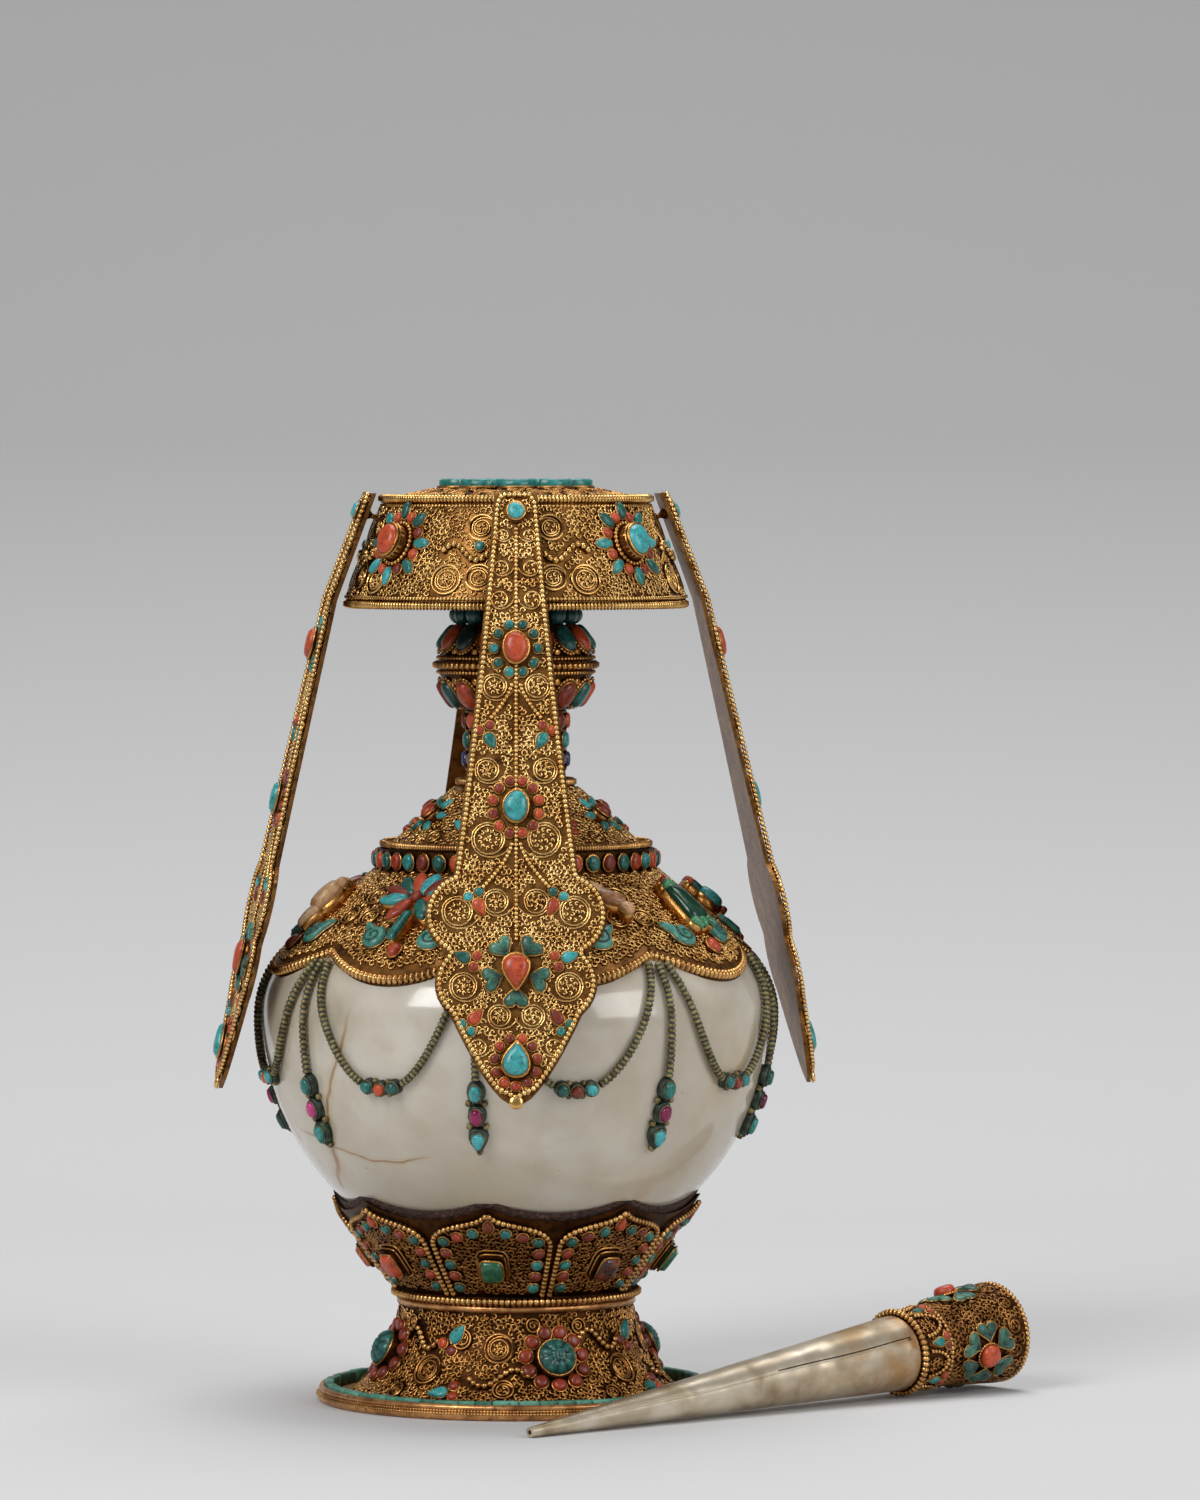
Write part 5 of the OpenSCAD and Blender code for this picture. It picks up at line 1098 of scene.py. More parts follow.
collets = [domes(oval(5.4, 6.2), 2.1, dome.seat(flower_at, np.full(4, flower_s)), box_wall, 0.5)]
for t in np.arange(6) * 60.0 + 30:
    az, s = petal_spot(dome, flower_at, flower_s, t, 4.9, 5.3)
    tray.lay("turquoise", drop(2.8, 4.8), 1.7, dome.seat(az, s, 0.1, np.full(4, t)), 0.3)
flowerets(tray, dome, spray_at, np.full(6, spray_s), "turquoise", "coral", 70.0)
piece("dome_corals", tray.sorted["coral"], coral, "vase", "coral")
piece("dome_turquoises", tray.sorted["turquoise"], turquoise, "vase", "turquoise")
piece("dome_bezels", tray.rims + collets, brown_gold, "vase", "gilt")


# Neck, knop and bead collar: sleeves threaded on the plain mouth tube. The neck holds three rows of round
# stones, the knop two rows of large ovals either side of a wire belt, the collar ribbed turquoise beads.
neck_r, neck_z, neck_h = 14.65, 189.01, 23.6
knop_z, knop_h, knop_r, knop_low_r, knop_belt_z, belt_half = 212.61, 25.8, 23.5, 16.65, 226.29, 3.0
bead_r, bead_count = 2.9, 16
paint(shaded_sheet_brown, "lower_neck", "knop")
paint(plate_gold, "mouth_tube")
tray = Tray(27)
for share, shift, kind in ((0.85, 0.0, "coral"), (0.6, 0.5, "turquoise"), (0.35, 0.0, "lapis")):
    az = (np.arange(12) + shift) * 30
    tray.lay(kind, oval(5.0, 5.0), 2.1, upright(az, neck_r, neck_z + neck_h * share), 0.42)
knop_wires = []
for up in (1, -1):
    end_z = knop_z + knop_h if up > 0 else knop_z
    mid_z, mid_r = (end_z + knop_belt_z + up * belt_half) / 2, (knop_r + knop_low_r) / 2
    tilt = up * np.arctan((knop_r - knop_low_r) / abs(end_z - knop_belt_z - up * belt_half))
    az = np.arange(16) * 22.5
    seat = upright(az, mid_r, mid_z, tilt, 0.2)
    for kind, first in (("knop_green", 0 if up > 0 else 1), ("coral_large", 1 if up > 0 else 0)):
        tray.lay(kind, oval(6.4, 9.4), 3.1, [v[first::2] for v in seat], 0.5)
    granule = upright(az + 11.25, mid_r + 1.6, mid_z - up * 3.4)
    knop_wires += pearl_rims(oval(7.9, 10.9, 20), seat, 0.55, 1.2, 0.45)
    knop_wires.append(domes(oval(2.6, 2.6, 10), 1.5, granule, tint=0.8))
lapis = cut_stone("lapis", (16, 28, 70), (30, 52, 110), (60, 96, 150), (120, 104, 60), 0.3, 0.22)
piece("neck_gem_corals", tray.sorted["coral"], coral, "vase", "coral", "neck_corals")
piece("neck_gem_turquoises", tray.sorted["turquoise"], turquoise, "vase", "turquoise", "neck_turquoises")
piece("neck_lapis", tray.sorted["lapis"], lapis, "vase", "turquoise")
piece("knop_gem_turquoises", tray.sorted["knop_green"],
      carved_turquoise, "vase", "turquoise", "knop_turquoises")
piece("knop_gem_corals", tray.sorted["coral_large"], coral, "vase", "coral", "knop_corals")
neck_wires = [hoop(neck_r + 0.5, neck_z + neck_h * h, 0.5, 1.0) for h in (0.22, 0.475, 0.725, 0.97)]
piece("neck_bezels", tray.rims + neck_wires, shade_gold, "vase", "gilt")
belt = [hoop(knop_r + 1.1, knop_belt_z, 1.3, 2.1, 0.5)]
belt += [hoop(knop_r + 0.5, knop_belt_z + dz, 0.65, 1.3) for dz in (2.2, -2.2)]
piece("knop_belt_beads", belt + knop_wires, brown_gold, "vase", "gilt", "knop_rope")


def melon_beads(centre, radius, corners=24, rings=9, ribs=8):
    """Ribbed beads: a ball drawn out upright, whose radius swells on eight ribs."""
    a = 2 * np.pi * np.arange(corners) / corners
    b = np.pi * (np.arange(rings) + 0.5) / rings
    far = radius * (0.93 + 0.07 * np.cos(ribs * a)) * np.sin(b)[:, None]
    tall = np.broadcast_to(-radius * np.cos(b)[:, None], far.shape)
    points = centre[:, None, None] + np.concatenate([spun(far, a), tall[..., None]], -1)
    return points, [capped_faces(*points.shape[:3])], np.full(points.shape[:3], 0.4)


bead_az = np.arange(bead_count) * 360 / bead_count
bead_at = polar(bead_az, neck_r + bead_r + 0.1, knop_z + knop_h + bead_r + 0.3)
piece("collar_melon_beads", [melon_beads(bead_at, bead_r)],
      carved_turquoise, "vase", "turquoise", "collar_beads")


# Canopy: a flaring drum of gilt sheet under a low roof, both covered with filigree and rimmed with rope.
# Four flowers stand on it, each a large stone in a tall collet with leaves and berries round it.
canopy_z, canopy_h, canopy_low_r, canopy_top_r = 246.414, 29.5, 52.2, 41.0
roof_edge, roof_mid = (39.8, 276.9), (25.3, 280.06)
rim_rope_at, rim_wire_at = ((41.25, 277.31), (52.0, 245.01)), ((41.3, 275.2), (52.3, 247.2))
lappet_az = np.array([0.0, 97.0, 185.0, 277.0])
flower_az = np.array([48.0, 138.0, 228.0, 309.0])
flower_z, flower_collet_h = canopy_z + canopy_h * 0.58, 3.6
drum_gold = gilding("drum_gold", (242, 196, 122), (198, 148, 80), (24, 14, 6), 0.22)
# Sheet under the canopy's filigree: its gilt made darker with painted shade, for the shade between the wires.
drum_sheet = gilding("drum_sheet", (128, 88, 45), (90, 58, 29), (38, 23, 11), 0.38, worked=False)
paint(drum_sheet, "canopy_wall", "canopy_top")
paint(shaded_sheet_brown, "canopy_floor")
drum = turned([(canopy_top_r, canopy_z + canopy_h), (canopy_low_r, canopy_z)])
rim_ropes = [hoop(r, z, 1.35, 1.2, 0.6) for r, z in rim_rope_at]
rim_ropes += [hoop(r, z, 0.6, 1.2) for r, z in rim_wire_at]
piece("canopy_rim_ropes", rim_ropes, drum_gold, "vase", "gilt", "canopy_ropes")
scroll_lines = s_lines(drum, lappet_az + 19, drum.by_z(canopy_z + 14.5), 15.0, -2.6) \
    + s_lines(drum, lappet_az - 19, drum.by_z(canopy_z + 14.5), -15.0, -2.6)
whorls = [(a + m * d, drum.by_z(canopy_z + h), r) for a in lappet_az for m in (-1, 1)
          for d, h, r in ((13.5, 22.1, 4.4), (13.0, 7.1, 4.4), (25.0, 6.4, 5.0))]
whorls += [(a, drum.by_z(canopy_z + 14), 4.0) for a in lappet_az]
holes = [(a, drum.by_z(flower_z), 8.0) for a in flower_az] \
    + [(a, h, 2.0) for line in scroll_lines for a, h in zip(*line)]
drum_ground = between(drum, 1.6, 1.8, flower_az[0])
piece("drum_filigree", scrollwork(drum, drum_ground, whorls, holes, 15, rim=whorl_rim),
      drum_gold, "vase", "gilt")
piece("drum_bead_scrolls", beaded(drum, scroll_lines), drum_gold, "vase", "gilt")
tray = Tray(28)
flower_s = np.full(4, drum.by_z(flower_z))
high = drum.seat(flower_az, flower_s, flower_collet_h)
tray.lay("turquoise_large", oval(8.0, 9.6, 16), 3.0, [v[[0, 2]] for v in high], 0.6, tint=[0.85, 0.7])
tray.lay("coral_large", oval(8.0, 9.6, 16), 3.0, [v[[1, 3]] for v in high], 0.6, tint=[0.7, 0.8])
low = drum.seat(flower_az, flower_s)
collets = [domes(oval(9.6, 11.2, 20), flower_collet_h + 0.5, low, box_wall, 0.5)] \
    + pearl_rims(oval(11.6, 13.2, 24), low, 0.8, 1.4, 0.7)
for t in np.arange(8) * 45.0:
    az, s = petal_spot(drum, flower_az, flower_s, t, 10.0, 10.2)
    tray.lay("turquoise", leaf * [0.92, 0.8], 1.9, drum.seat(az, s, 0.1, np.full(4, t)), 0.36)
    az, s = petal_spot(drum, flower_az, flower_s, t + 22.5, 8.7, 9.0)
    tray.lay("coral", oval(3.3, 3.3), 1.8, drum.seat(az, s), 0.36)
side_seat = drum.seat(lappet_az - 13.5, np.full(4, drum.by_z(canopy_z + 16.5)))
tray.lay("turquoise", oval(3.2, 3.2), 1.8, side_seat, 0.36)
piece("canopy_gem_turquoises", tray.sorted["turquoise"] + tray.sorted["turquoise_large"],
      turquoise, "vase", "turquoise", "canopy_turquoises")
piece("canopy_gem_corals", tray.sorted["coral"] + tray.sorted["coral_large"],
      coral, "vase", "coral", "canopy_corals")
piece("canopy_bezels", tray.rims + collets, brown_gold, "vase", "gilt")
roof = turned([roof_mid, roof_edge])
whorls = [(a, 6.8, 4.2) for a in np.arange(16) * 22.5 - 168.75]
piece("roof_filigree", scrollwork(roof, between(roof, 0.8, 0.9), whorls, [], 16, pitch=2.2),
      brown_gold, "vase", "gilt")


# Rosette round the mouth: a ten-petalled lotus carved from turquoise plates, each petal hollowed and
# ribbed, lying inside a thin gilt edge cut to the same scallops.
rosette_r, rosette_z, rosette_h, flange_r = 25.3, 280.114, 3.4, 15.3


def lotus_ring(az, edge, share):
    """Closed section carried round the mouth: inner wall, hollowed top, rolled edge and underside. The
    edge follows petal arcs, and ribs cut the top with the cosine of seven times the petal angle."""
    petal_x = rosette_r * 0.74
    a = np.radians((az + 18) % 36 - 18)
    reach = petal_x * np.cos(a) + np.sqrt((rosette_r - petal_x) ** 2 - (petal_x * np.sin(a)) ** 2)
    rib = 0.22 * np.cos(np.degrees(a) / 18 * np.pi * 3.5)[:, None]
    hollow = 0.5 * (1 - (np.abs(np.degrees(a)) / 18) ** 2)[:, None]
    r = flange_r + (reach[:, None] * edge - flange_r) * share[:, 0]
    z = rosette_z + rosette_h * share[:, 1] + (rib - hollow) * share[:, 2]
    points = polar(az[:, None], r, z)[None]
    count, corners = points.shape[1:3]
    i, j = np.arange(count)[:, None], np.arange(corners)[None]
    here, there, on = i * corners, (i + 1) % count * corners, (j + 1) % corners
    faces = np.stack([here + j, there + j, there + on, here + on], -1).reshape(-1, 4)
    shade = np.clip(0.5 + 1.4 * (rib - 0.6 * hollow) * share[:, 2] + 0.25 * (share[:, 1] > 0.9), 0, 1)
    return points, [faces], shade[None]


lotus_az = np.arange(300) * 1.2 + 0.6
section = np.array([(0, 0, 0), (0, 0.62, 0), (0.18, 0.7, 0.2), (0.45, 0.78, 1), (0.72, 0.86, 1),
                    (0.92, 1.0, 0.5), (1.0, 0.82, 0), (1.0, 0.3, 0), (0.97, 0.1, 0)])
rim_section = np.array([(0.93, 0.0, 0), (1.0, 0.0, 0), (1.03, 0.2, 0), (1.0, 0.34, 0), (0.93, 0.3, 0)])
piece("rosette_lotus", [lotus_ring(lotus_az, 0.965, section[::-1])],
      turquoise, "vase", "turquoise", "top_rosette")
piece("rosette_edge", [lotus_ring(lotus_az, 0.985, rim_section)], brown_gold, "vase", "gilt")


# Hanging plates: four bent tongues of gilt sheet, each swinging on a pin through the canopy wall. A pearled
# border and a beaded midrib are soldered over filigree whorls; stones sit in bezels down the middle.
plate_len, pin_s, bend_s, upper_lean, lower_lean, plate_t = 188.5, 6.8, 35.0, 20.79, 13.0, 1.2
pin_back = np.array([46.112, 272.592])
row_s = np.array([0.262, 0.519, 0.781, 0.928]) * plate_len
pair_s = np.array([0.404, 0.672, 0.762, 0.862]) * plate_len
pair_x = np.array([8.3, 11.5, 14.6, 13.0])


def plate_half(s):
    """Half width of a plate at distance s from its top: a widening tongue, two round lobes, a pointed end."""
    u = s / plate_len
    tongue = np.where(u < 0.64, 6.5 + 13.85 * u + 8.9 * u * u, 0)
    lobes = [np.where(np.abs(u - mid) < half, x + rx * np.sqrt(np.maximum(0, 1 - ((u - mid) / half) ** 2)), 0)
             for mid, half, x, rx in ((0.692, 0.0684, 14.2, 12.9), (0.801, 0.0647, 12.0, 12.2))]
    point = np.where(u > 0.8, 2.25 * np.maximum(0, plate_len * (1 - u)) ** 0.65, 0)
    return np.maximum.reduce([tongue, *lobes, point])


def hanging(az):
    """Face of the plate at an azimuth, in x across and s down it. The sheet is straight to the bend and
    from there to its tip; both legs lean outwards."""
    t = np.radians(az)
    across = np.array([np.cos(t), np.sin(t), 0])
    radial = np.array([np.sin(t), -np.cos(t), 0])

    def at(x, s, lift=0.0):
        x, s = np.broadcast_arrays(np.asarray(x, float), np.asarray(s, float))
        lean = np.radians(np.where(s < bend_s, upper_lean, lower_lean))
        top, rest = np.minimum(s, bend_s) - pin_s, np.maximum(0, s - bend_s)
        a, b = np.radians(upper_lean), np.radians(lower_lean)
        r = pin_back[0] + top * np.sin(a) + rest * np.sin(b)
        z = pin_back[1] - top * np.cos(a) - rest * np.cos(b)
        out = np.cos(lean)[..., None] * radial + np.sin(lean)[..., None] * np.array([0, 0, 1.0])
        flat = x[..., None] * across + r[..., None] * radial + z[..., None] * np.array([0, 0, 1.0])
        return flat + (plate_t + np.asarray(lift))[..., None] * out, out

    def seat(x, s, lift=0.0, turn=0.0):
        point, out = at(x, s, lift)
        return seated(point, across + 0 * out, out, turn + 0 * np.asarray(x, float))

    return SimpleNamespace(at=at, seat=seat, laps=(0,),
                           unroll=lambda x, s: np.stack(np.broadcast_arrays(x, s), -1).astype(float),
                           roll=lambda xy: (xy[..., 0], xy[..., 1]),
                           beside=lambda x, s, dx, dy: (x + dx, s - dy))


lappet_gold = gilding("lappet_gold", (254, 212, 138), (218, 166, 94), (24, 14, 6), 0.2)
# Sheet under the plates' filigree: its gilt made darker with painted shade, for the shade between the wires.
lappet_sheet = gilding("lappet_sheet", (152, 106, 55), (108, 71, 36), (46, 27, 12), 0.36, worked=False)
petal_green = cut_stone("petal_green", (16, 48, 40), (50, 104, 86), (92, 146, 122), (22, 40, 32), 0.7, 0.34)
heart_a = 2 * np.pi * np.arange(18) / 18
heart_y = 13 * np.cos(heart_a) - 5 * np.cos(2 * heart_a) - 2 * np.cos(3 * heart_a) - np.cos(4 * heart_a) + 2
heart = np.stack([-16 * np.sin(heart_a) ** 3, heart_y], -1) * [0.24, 0.215]


def carved_lines(seat, size=1.0):
    """Grooves that fan out from a heart's point: five short lines, darker than the stone."""
    origin, across, up, out = [v[:, None] for v in seat]
    u = np.linspace(0, 1, 5)[:, None]
    grooves = []
    for lean in (-1.0, -0.5, 0.0, 0.5, 1.0):
        line = origin + size * (lean * (0.4 + 1.9 * u) * across + (-1.9 + (3.9 - abs(lean)) * u) * up)
        line = line + (1.9 - 0.5 * u ** 2) * out
        grooves.append(tubes(line, np.broadcast_to(out, line.shape), 0.2, tint=0.0))
    return grooves


inner_s = np.linspace(4.0, plate_len - 5.0, 260)
slope = np.gradient(plate_half(inner_s), inner_s)
lean_in = unit(np.stack([np.ones_like(slope), -slope], -1)) * 1.25
edge_x, edge_s = plate_half(inner_s) - lean_in[:, 0], inner_s - lean_in[:, 1]
loop_x = np.concatenate([np.linspace(-4.2, 4.2, 12), edge_x, [0], -edge_x[::-1]])
loop_s = np.concatenate([np.full(12, 1.25), edge_s, [plate_len - 3.0], edge_s[::-1]])
whorl_rows = ((14.0, 3.9, 2.5), (24.5, 4.4, 3.0), (34.5, 4.8, 3.2), (61.0, 6.4, 4.6),
              (86.5, 8.6, 4.4), (107.5, 8.2, 5.8), (126.5, 6.0, 4.6), (129.5, 17.4, 5.4),
              (152.0, 15.6, 4.9), (161.0, 4.9, 4.2), (170.5, 11.2, 3.2))
plate_whorls = [(m * x, s, r) for s, x, r in whorl_rows for m in (-1, 1)]
ring_sizes = ((0, 10, 6.6, 7.6), (1, 12, 7.1, 8.1), (3, 11, 6.4, 7.2))
plate_holes = [(0, row_s[i], rx + 0.8) for i, n, rx, ry in ring_sizes]
plate_holes += [(0, row_s[2], 7.0), (0, pin_s, 3.6)]
plate_holes += [(m * x, s, 2.4) for x, s in zip(pair_x, pair_s) for m in (-1, 1)]
u = np.linspace(0, 1, 40)
rib_lines = [(0 * u, 11.5 + 127.0 * u)]
for start, drop_s, reach in ((60.0, 11.0, 6.6), (108.5, 14.0, 9.0)):
    rib_lines += [(m * (1.2 + reach * u ** 1.5), start + drop_s * u) for m in (-1, 1)]
plate_holes += [(x, s, 1.2) for line in rib_lines[1:] for x, s in zip(*line)]


def on_plate(x, s):
    """Inside a plate's border and beside its midrib."""
    return (np.abs(x) < plate_half(s) - 2.5) & (s > 3.0) & (s < plate_len - 5) & (np.abs(x) > 1.2)


for side, az in zip(("front", "right", "back", "left"), lappet_az):
    body, face = side + "_lappet", hanging(az)
    paint(lappet_sheet, side + "_plate")
    path, out = face.at(loop_x, loop_s, 1.1)
    piece(side + "_bead_border", [pearled(path, out, 0.9, 1.5, 0.4, closed=True)],
          lappet_gold, body, "gilt", side + "_border")
    ribs = []
    for x, s in rib_lines:
        path, out = face.at(x, s, 0.85)
        ribs.append(pearled(path, out, 0.74, 1.3, 0.4))
    end_seat = face.seat(np.array([0.0]), np.array([plate_len - 1.6]), 0.4)
    ribs.append(domes(oval(4.4, 4.4, 14), 1.3, end_seat, tint=0.9))
    piece(side + "_midrib_beads", ribs, lappet_gold, body, "gilt")
    wires = scrollwork(face, on_plate, plate_whorls, plate_holes, int(az) + 31, pitch=1.8,
                       box=(-30, 0, 30, plate_len))
    piece(side + "_filigree", wires, lappet_gold, body, "gilt")
    tray = Tray(int(az) + 60)
    one = np.array([0.0])
    tray.lay("turquoise", oval(5.2, 5.2, 16), 2.0, face.seat(one, one + pin_s, 1.6), 0.5, tint=[1.0])
    for i, kind in enumerate(("coral", "turquoise", "coral", "turquoise")):
        shape = oval(7.0, 9.4, 18) if i < 2 else laid(drop(7.6, 10.2, 18), 180 if i == 2 else 0)
        tray.lay(kind, shape, 2.9, face.seat(one, one + row_s[i], 1.6), 0.6, tint=[0.75])
        tray.rims.append(domes(shape * 1.1, 1.9, face.seat(one, one + row_s[i]), box_wall, 0.5))
    for (i, n, rx, ry), kind in zip(ring_sizes, ("turquoise", "coral", "coral")):
        t = 2 * np.pi * (np.arange(n) + 0.5) / n
        tray.lay(kind, oval(3.0, 3.0), 1.8, face.seat(rx * np.sin(t), row_s[i] - ry * np.cos(t)), 0.36)
    t = np.arange(5) * 72.0
    turn = np.where(t == 0, 180.0, 180 + t)
    petal_seat = face.seat(7.1 * np.sin(np.radians(t)), row_s[2] + 8.2 * np.cos(np.radians(t)), 0.3, turn)
    tray.lay("petal", heart, 1.9, petal_seat, 0.4, tint=tray.draw.uniform(0.35, 0.8, 5))
    tray.sorted["petal"] += carved_lines(petal_seat)
    for i, (kind, beads) in enumerate((("turquoise", "coral"), ("coral", "turquoise")) * 2):
        for m in (-1, 1):
            flowerets(tray, face, one + m * pair_x[i], one + pair_s[i], kind, beads,
                      (180 - m * 25, 180 - m * 25, -m * 70, m * 40)[i])
    piece(side + "_gem_turquoises", tray.sorted["turquoise"],
          turquoise, body, "turquoise", side + "_turquoises")
    piece(side + "_gem_corals", tray.sorted["coral"], coral, body, "coral", side + "_corals")
    piece(side + "_heart_petals", tray.sorted["petal"], petal_green, body, "turquoise")
    piece(side + "_bezels", tray.rims, brown_gold, body, "gilt")


# Sprinkler: a hollow cone beaten from silver sheet and lapped along one seam, its mouth set in a flared
# filigree collar. It plugs into the vase's mouth up to the seat ring and lies beside the vase here.
tip, yaw, lift_deg = np.array([4.0, -102.0, 1.495]), 42.0, 4.606
cone_len, tip_r, cone_r, collar_s, collar_len, collar_r = 152.0, 1.5, 11.7, 154.6, 40.0, 15.3
seat_ring_r, seat_ring_s, seam_lap_deg, solder_from = 12.6, 153.3, 3.0, 0.62
yaw_a, lift_a = np.radians(yaw), np.radians(lift_deg)
axis_z = np.array([np.cos(lift_a) * np.cos(yaw_a), np.cos(lift_a) * np.sin(yaw_a), np.sin(lift_a)])
axis_x = np.array([np.sin(lift_a) * np.cos(yaw_a), np.sin(lift_a) * np.sin(yaw_a), -np.cos(lift_a)])
own_axes = np.stack([axis_x, np.cross(axis_z, axis_x), axis_z])


def placed(block):
    """Block carried from the sprinkler's own axes to where it lies."""
    return tip + block[0] @ own_axes, block[1], block[2]


def placed_seat(seat):
    """Seats carried from the sprinkler's own axes to where it lies."""
    return (tip + seat[0] @ own_axes, *(v @ own_axes for v in seat[1:]))


finish = Finish("beaten_silver")
dents = finish.noise(46, 2, 0.3)
tarnish = finish.noise(55, 8, 0.3)
colour = finish.ramp(tarnish, (0.34, (158, 139, 111)), (0.5, (206, 191, 167)), (0.66, (232, 221, 202)))
along = finish.measured("DOT_PRODUCT", axis_z)
reach = tip @ axis_z * MM
near_collar = finish.spread(along, 0.0, 1.0, reach + 0.104, reach + 0.15)
patches = finish.spread(finish.noise(110, 7, 0.4), 0.15, 0.9, 0.4, 0.62)
brown = finish.arith("MULTIPLY", near_collar, patches)
finish.surface("Base Color", finish.blend(brown, colour, tone(166, 122, 66)))
finish.surface("Metallic", 0.9)
finish.surface("Roughness", finish.spread(tarnish, 0.52, 0.3, 0.3, 0.7))
finish.bump(dents, 0.5, 0.0028)
silver = finish.made
paint(silver, "sprinkler_cone")
u = np.linspace(0.02, 0.985, 80)
taper = tip_r + (cone_r - tip_r) * u
seam_az = -28 + 3 * np.sin(5 * u) + 1.5 * np.sin(17 * u)
seam_out = polar(seam_az, 1, 0)[None]
lap = tubes(polar(seam_az + seam_lap_deg, taper - 0.1, cone_len * u)[None], seam_out,
            0.7 * np.minimum(1, 0.3 + 2 * u), tall=0.5)
piece("sprinkler_seam", [placed(lap)], silver, "sprinkler", "silver")
late = u > solder_from
solder = tubes(polar(seam_az, taper + 0.1, cone_len * u)[None, late], seam_out[:, late], 0.16, tint=0.0)
piece("sprinkler_solder", [placed(solder)], brown_gold, "sprinkler", "silver")
paint(shaded_sheet_brown, "sprinkler_collar")
collar = turned([(cone_r + 0.1, collar_s), (cone_r + 0.7, collar_s + collar_len * 0.35),
                 (collar_r, collar_s + collar_len)])
flower_turn = np.array([15.0, 135.0, -105.0])
mid_s = collar.by_z(collar_s + collar_len * 0.62)
knots = [collar.by_z(collar_s + collar_len * h) for h in (0.14, 0.9)]
loop_az = np.arange(6) * 60.0 - 165
spray_az = loop_az + 30
spray_s = np.full(6, knots[0] + 1.0)
u = np.linspace(0, np.pi, 40)
loops = [(a + 19 * np.cos(u), 1.2 + 7.4 * np.sin(u)) for a in loop_az]
holes = [(a, mid_s, 7.6) for a in flower_turn] + [(a, h, 1.2) for line in loops for a, h in zip(*line)] \
    + [(a, h, 2.4) for a, h in zip(spray_az, spray_s)]
whorls = [(a, knots[1], 2.6) for a in np.arange(12) * 30 - 165]
collar_blocks = scrollwork(collar, between(collar, 0.8, 0.9), whorls, holes, 17)
piece("collar_filigree", [placed(b) for b in collar_blocks], shade_gold, "sprinkler", "gilt")
rope_parts = [hoop(seat_ring_r, seat_ring_s, 1.25, 1.7),
              hoop(collar_r - 0.3, collar_s + collar_len + 0.9, 0.95, 1.5),
              hoop(cone_r + 0.75, collar_s + collar_len * 0.26, 0.8, 1.4)]
piece("sprinkler_bead_ropes", [placed(b) for b in rope_parts],
      rim_gold, "sprinkler", "gilt", "sprinkler_ropes")
piece("collar_bead_loops", [placed(b) for b in beaded(collar, loops, 0.7)], rim_gold, "sprinkler", "gilt")
tray = Tray(29)
three = np.full(3, mid_s)
ball_seat = placed_seat(collar.seat(flower_turn, three, 0.5))
tray.lay("coral", oval(7.0, 7.0, 16), 3.2, ball_seat, 0.0, tint=[0.8, 0.6, 0.7])
tray.rims += pearl_rims(oval(7.8, 7.8, 20), ball_seat, 0.45, 0.95, 0.3)
for t in np.arange(6) * 60.0 + 30:
    az, s = petal_spot(collar, flower_turn, three, t, 7.0, 7.0)
    petal_seat = placed_seat(collar.seat(az, s, 0.3, np.full(3, t)))
    tray.lay("petal", heart * [1.06, 0.98], 1.5, petal_seat, 0.3, tint=tray.draw.uniform(0.25, 0.6, 3))
    tray.sorted["petal"] += carved_lines(raised(petal_seat, -0.4), 0.8)
collar_lying = SimpleNamespace(beside=collar.beside,
                               seat=lambda *place, **turn: placed_seat(collar.seat(*place, **turn)))
flowerets(tray, collar_lying, spray_az, spray_s, "turquoise", "coral", 180.0, 0.85)
piece("sprinkler_corals", tray.sorted["coral"], coral, "sprinkler", "coral", "sprinkler_stones")
piece("sprinkler_petals", tray.sorted["petal"], petal_green, "sprinkler", "turquoise")
piece("sprinkler_turquoises", tray.sorted["turquoise"], turquoise, "sprinkler", "turquoise")
piece("sprinkler_bezels", tray.rims, brown_gold, "sprinkler", "gilt")


# Stage: a pale seamless floor that rises behind, three soft lamps and the camera at the viewing angle.
# The sweep is see-through from its back, so that a view from behind still shows the vase.
finish = Finish("pale_sweep")
height = finish.nodes.new("ShaderNodeSeparateXYZ")
finish.link(finish.place, height.inputs[0])
climb = finish.spread(height.outputs["Z"], 0.0, 1.0, 0.0, 1.2)
# Grey darkens from the floor up the rising back: painted fall-off of the lamps' light on the one seamless
# sheet.
grey = finish.ramp(climb, (0.0, (206, 206, 207)), (0.25, (160, 160, 160)), (1.0, (134, 134, 132)))
finish.surface("Base Color", grey)
finish.surface("Roughness", 0.9)
open_back = finish.nodes.new("ShaderNodeBsdfTransparent")
facing = finish.nodes.new("ShaderNodeNewGeometry")
either = finish.nodes.new("ShaderNodeMixShader")
finish.link(facing.outputs["Backfacing"], either.inputs["Fac"])
finish.link(finish.nodes["Principled BSDF"].outputs["BSDF"], either.inputs[1])
finish.link(open_back.outputs["BSDF"], either.inputs[2])
finish.link(either.outputs["Shader"], finish.nodes["Material Output"].inputs["Surface"])
u = np.linspace(0, 1, 40)
sweep_y = np.concatenate([[-4.0, 0.6], 0.6 + 0.9 * np.sin(u * np.pi / 2), [1.5]])
sweep_z = np.concatenate([[0, 0], 0.9 * (1 - np.cos(u * np.pi / 2)), [4.0]])
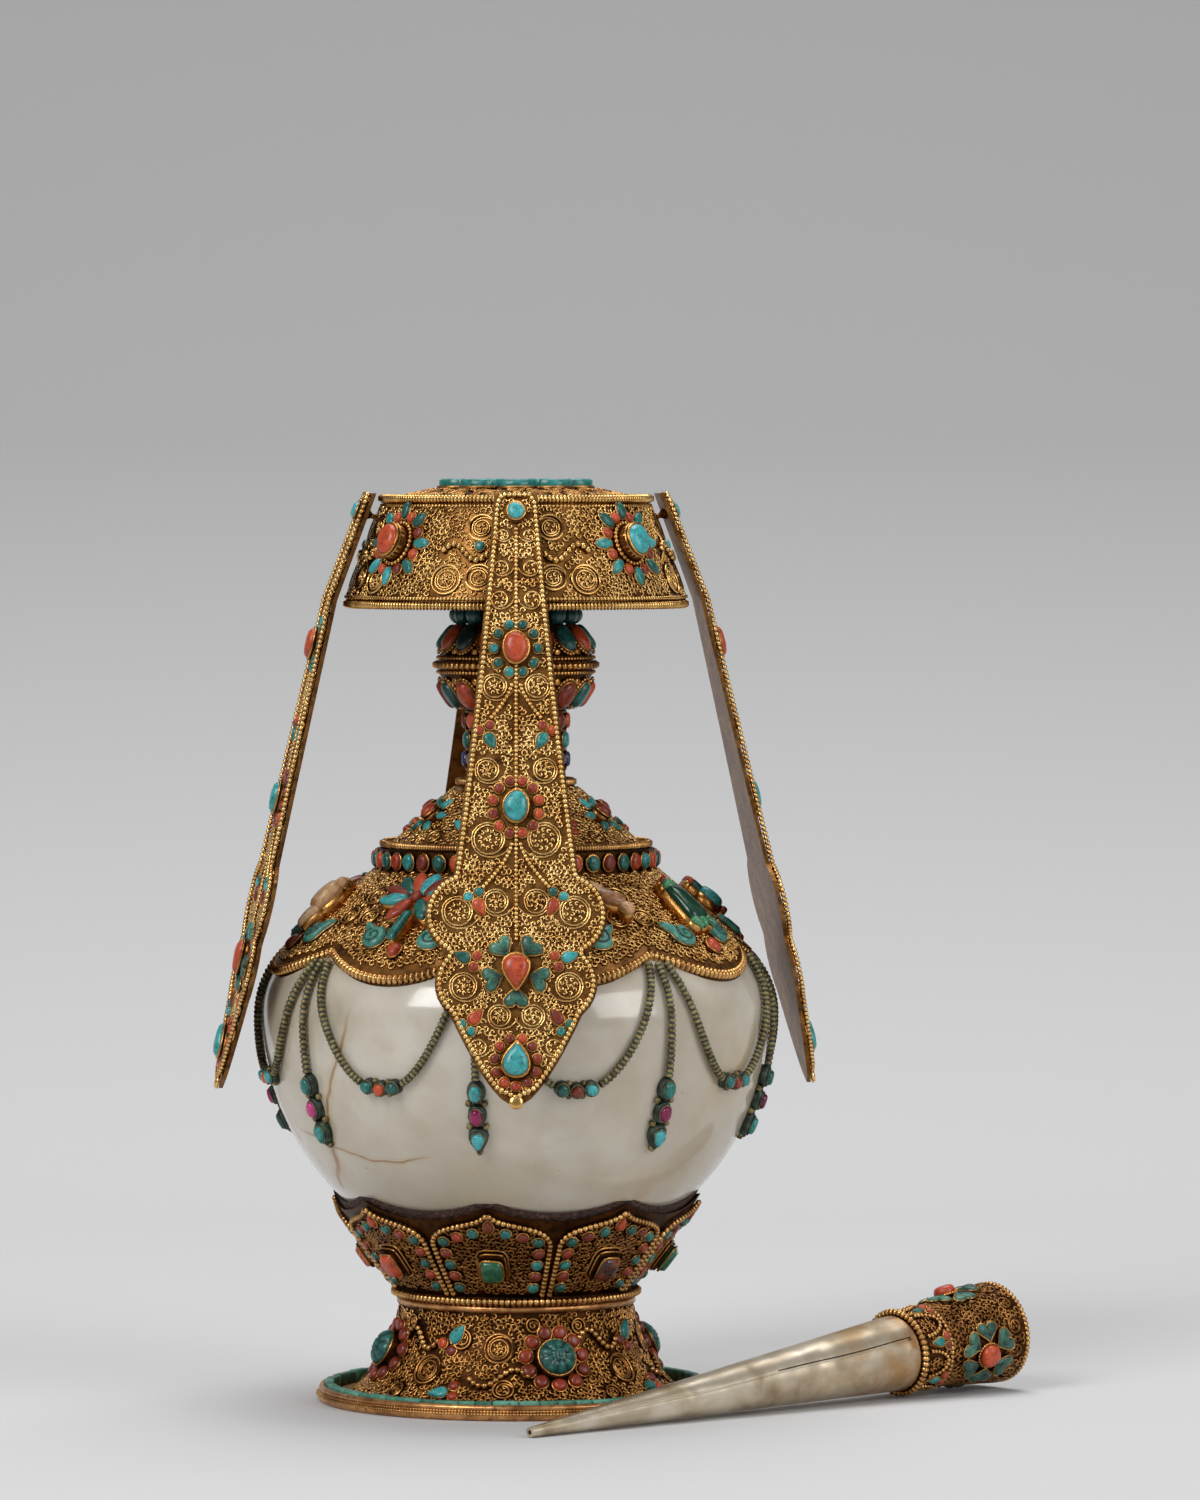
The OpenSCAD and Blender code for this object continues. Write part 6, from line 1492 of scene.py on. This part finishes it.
side_x = np.array([-4.0, 4.0])
grid = np.stack(np.broadcast_arrays(side_x[:, None], sweep_y, sweep_z - 0.0002), -1)
k = np.arange(len(sweep_y) - 1)
faces = np.stack([k, len(sweep_y) + k, len(sweep_y) + k + 1, k + 1], -1)
mesh = bpy.data.meshes.new("sweep")
mesh.from_pydata(grid.reshape(-1, 3).tolist(), [], faces.tolist())
mesh.polygons.foreach_set("use_smooth", np.ones(len(faces), bool))
mesh.materials.append(finish.made)
sweep = bpy.data.objects.new("sweep", mesh)
bpy.context.collection.objects.link(sweep)
sweep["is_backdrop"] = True


def lamp(name, place, aim, size, power):
    """Square soft lamp at a place, turned to its aim."""
    light = bpy.data.lights.new(name, "AREA")
    light.shape, light.size, light.energy = "SQUARE", size, power
    made = bpy.data.objects.new(name, light)
    bpy.context.collection.objects.link(made)
    made.location = place
    made.rotation_euler = (Vector(aim) - Vector(place)).to_track_quat("-Z", "Y").to_euler()


lamp("key_lamp", (-1.5, -1.9, 1.9), (0, 0, 0.15), 1.3, 46)
lamp("fill_lamp", (1.9, -1.5, 1.2), (0, 0, 0.15), 1.4, 24)
lamp("top_lamp", (0.1, 0.5, 2.1), (0, 0, 0.15), 1.4, 26)
world = bpy.data.worlds.new("studio")
world.use_nodes = True
world.node_tree.nodes["Background"].inputs["Color"].default_value = (0.97, 0.98, 1.0, 1)
world.node_tree.nodes["Background"].inputs["Strength"].default_value = 0.24
bpy.context.scene.world = world

distance, eye_z, down_deg, right_deg, focal_px = 2.46, 0.285, 1.98, 0.602, 8000
lens = bpy.data.cameras.new("camera")
lens.sensor_fit, lens.sensor_width, lens.lens = "AUTO", 36, focal_px * 36 / 1500
lens.clip_end = 30
camera = bpy.data.objects.new("camera", lens)
bpy.context.collection.objects.link(camera)
camera.location = (0, -distance, eye_z)
camera.rotation_euler = (np.radians(90 - down_deg), 0, np.radians(-right_deg))
bpy.context.scene.camera = camera
bpy.context.scene.view_settings.view_transform = "Standard"

low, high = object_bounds()
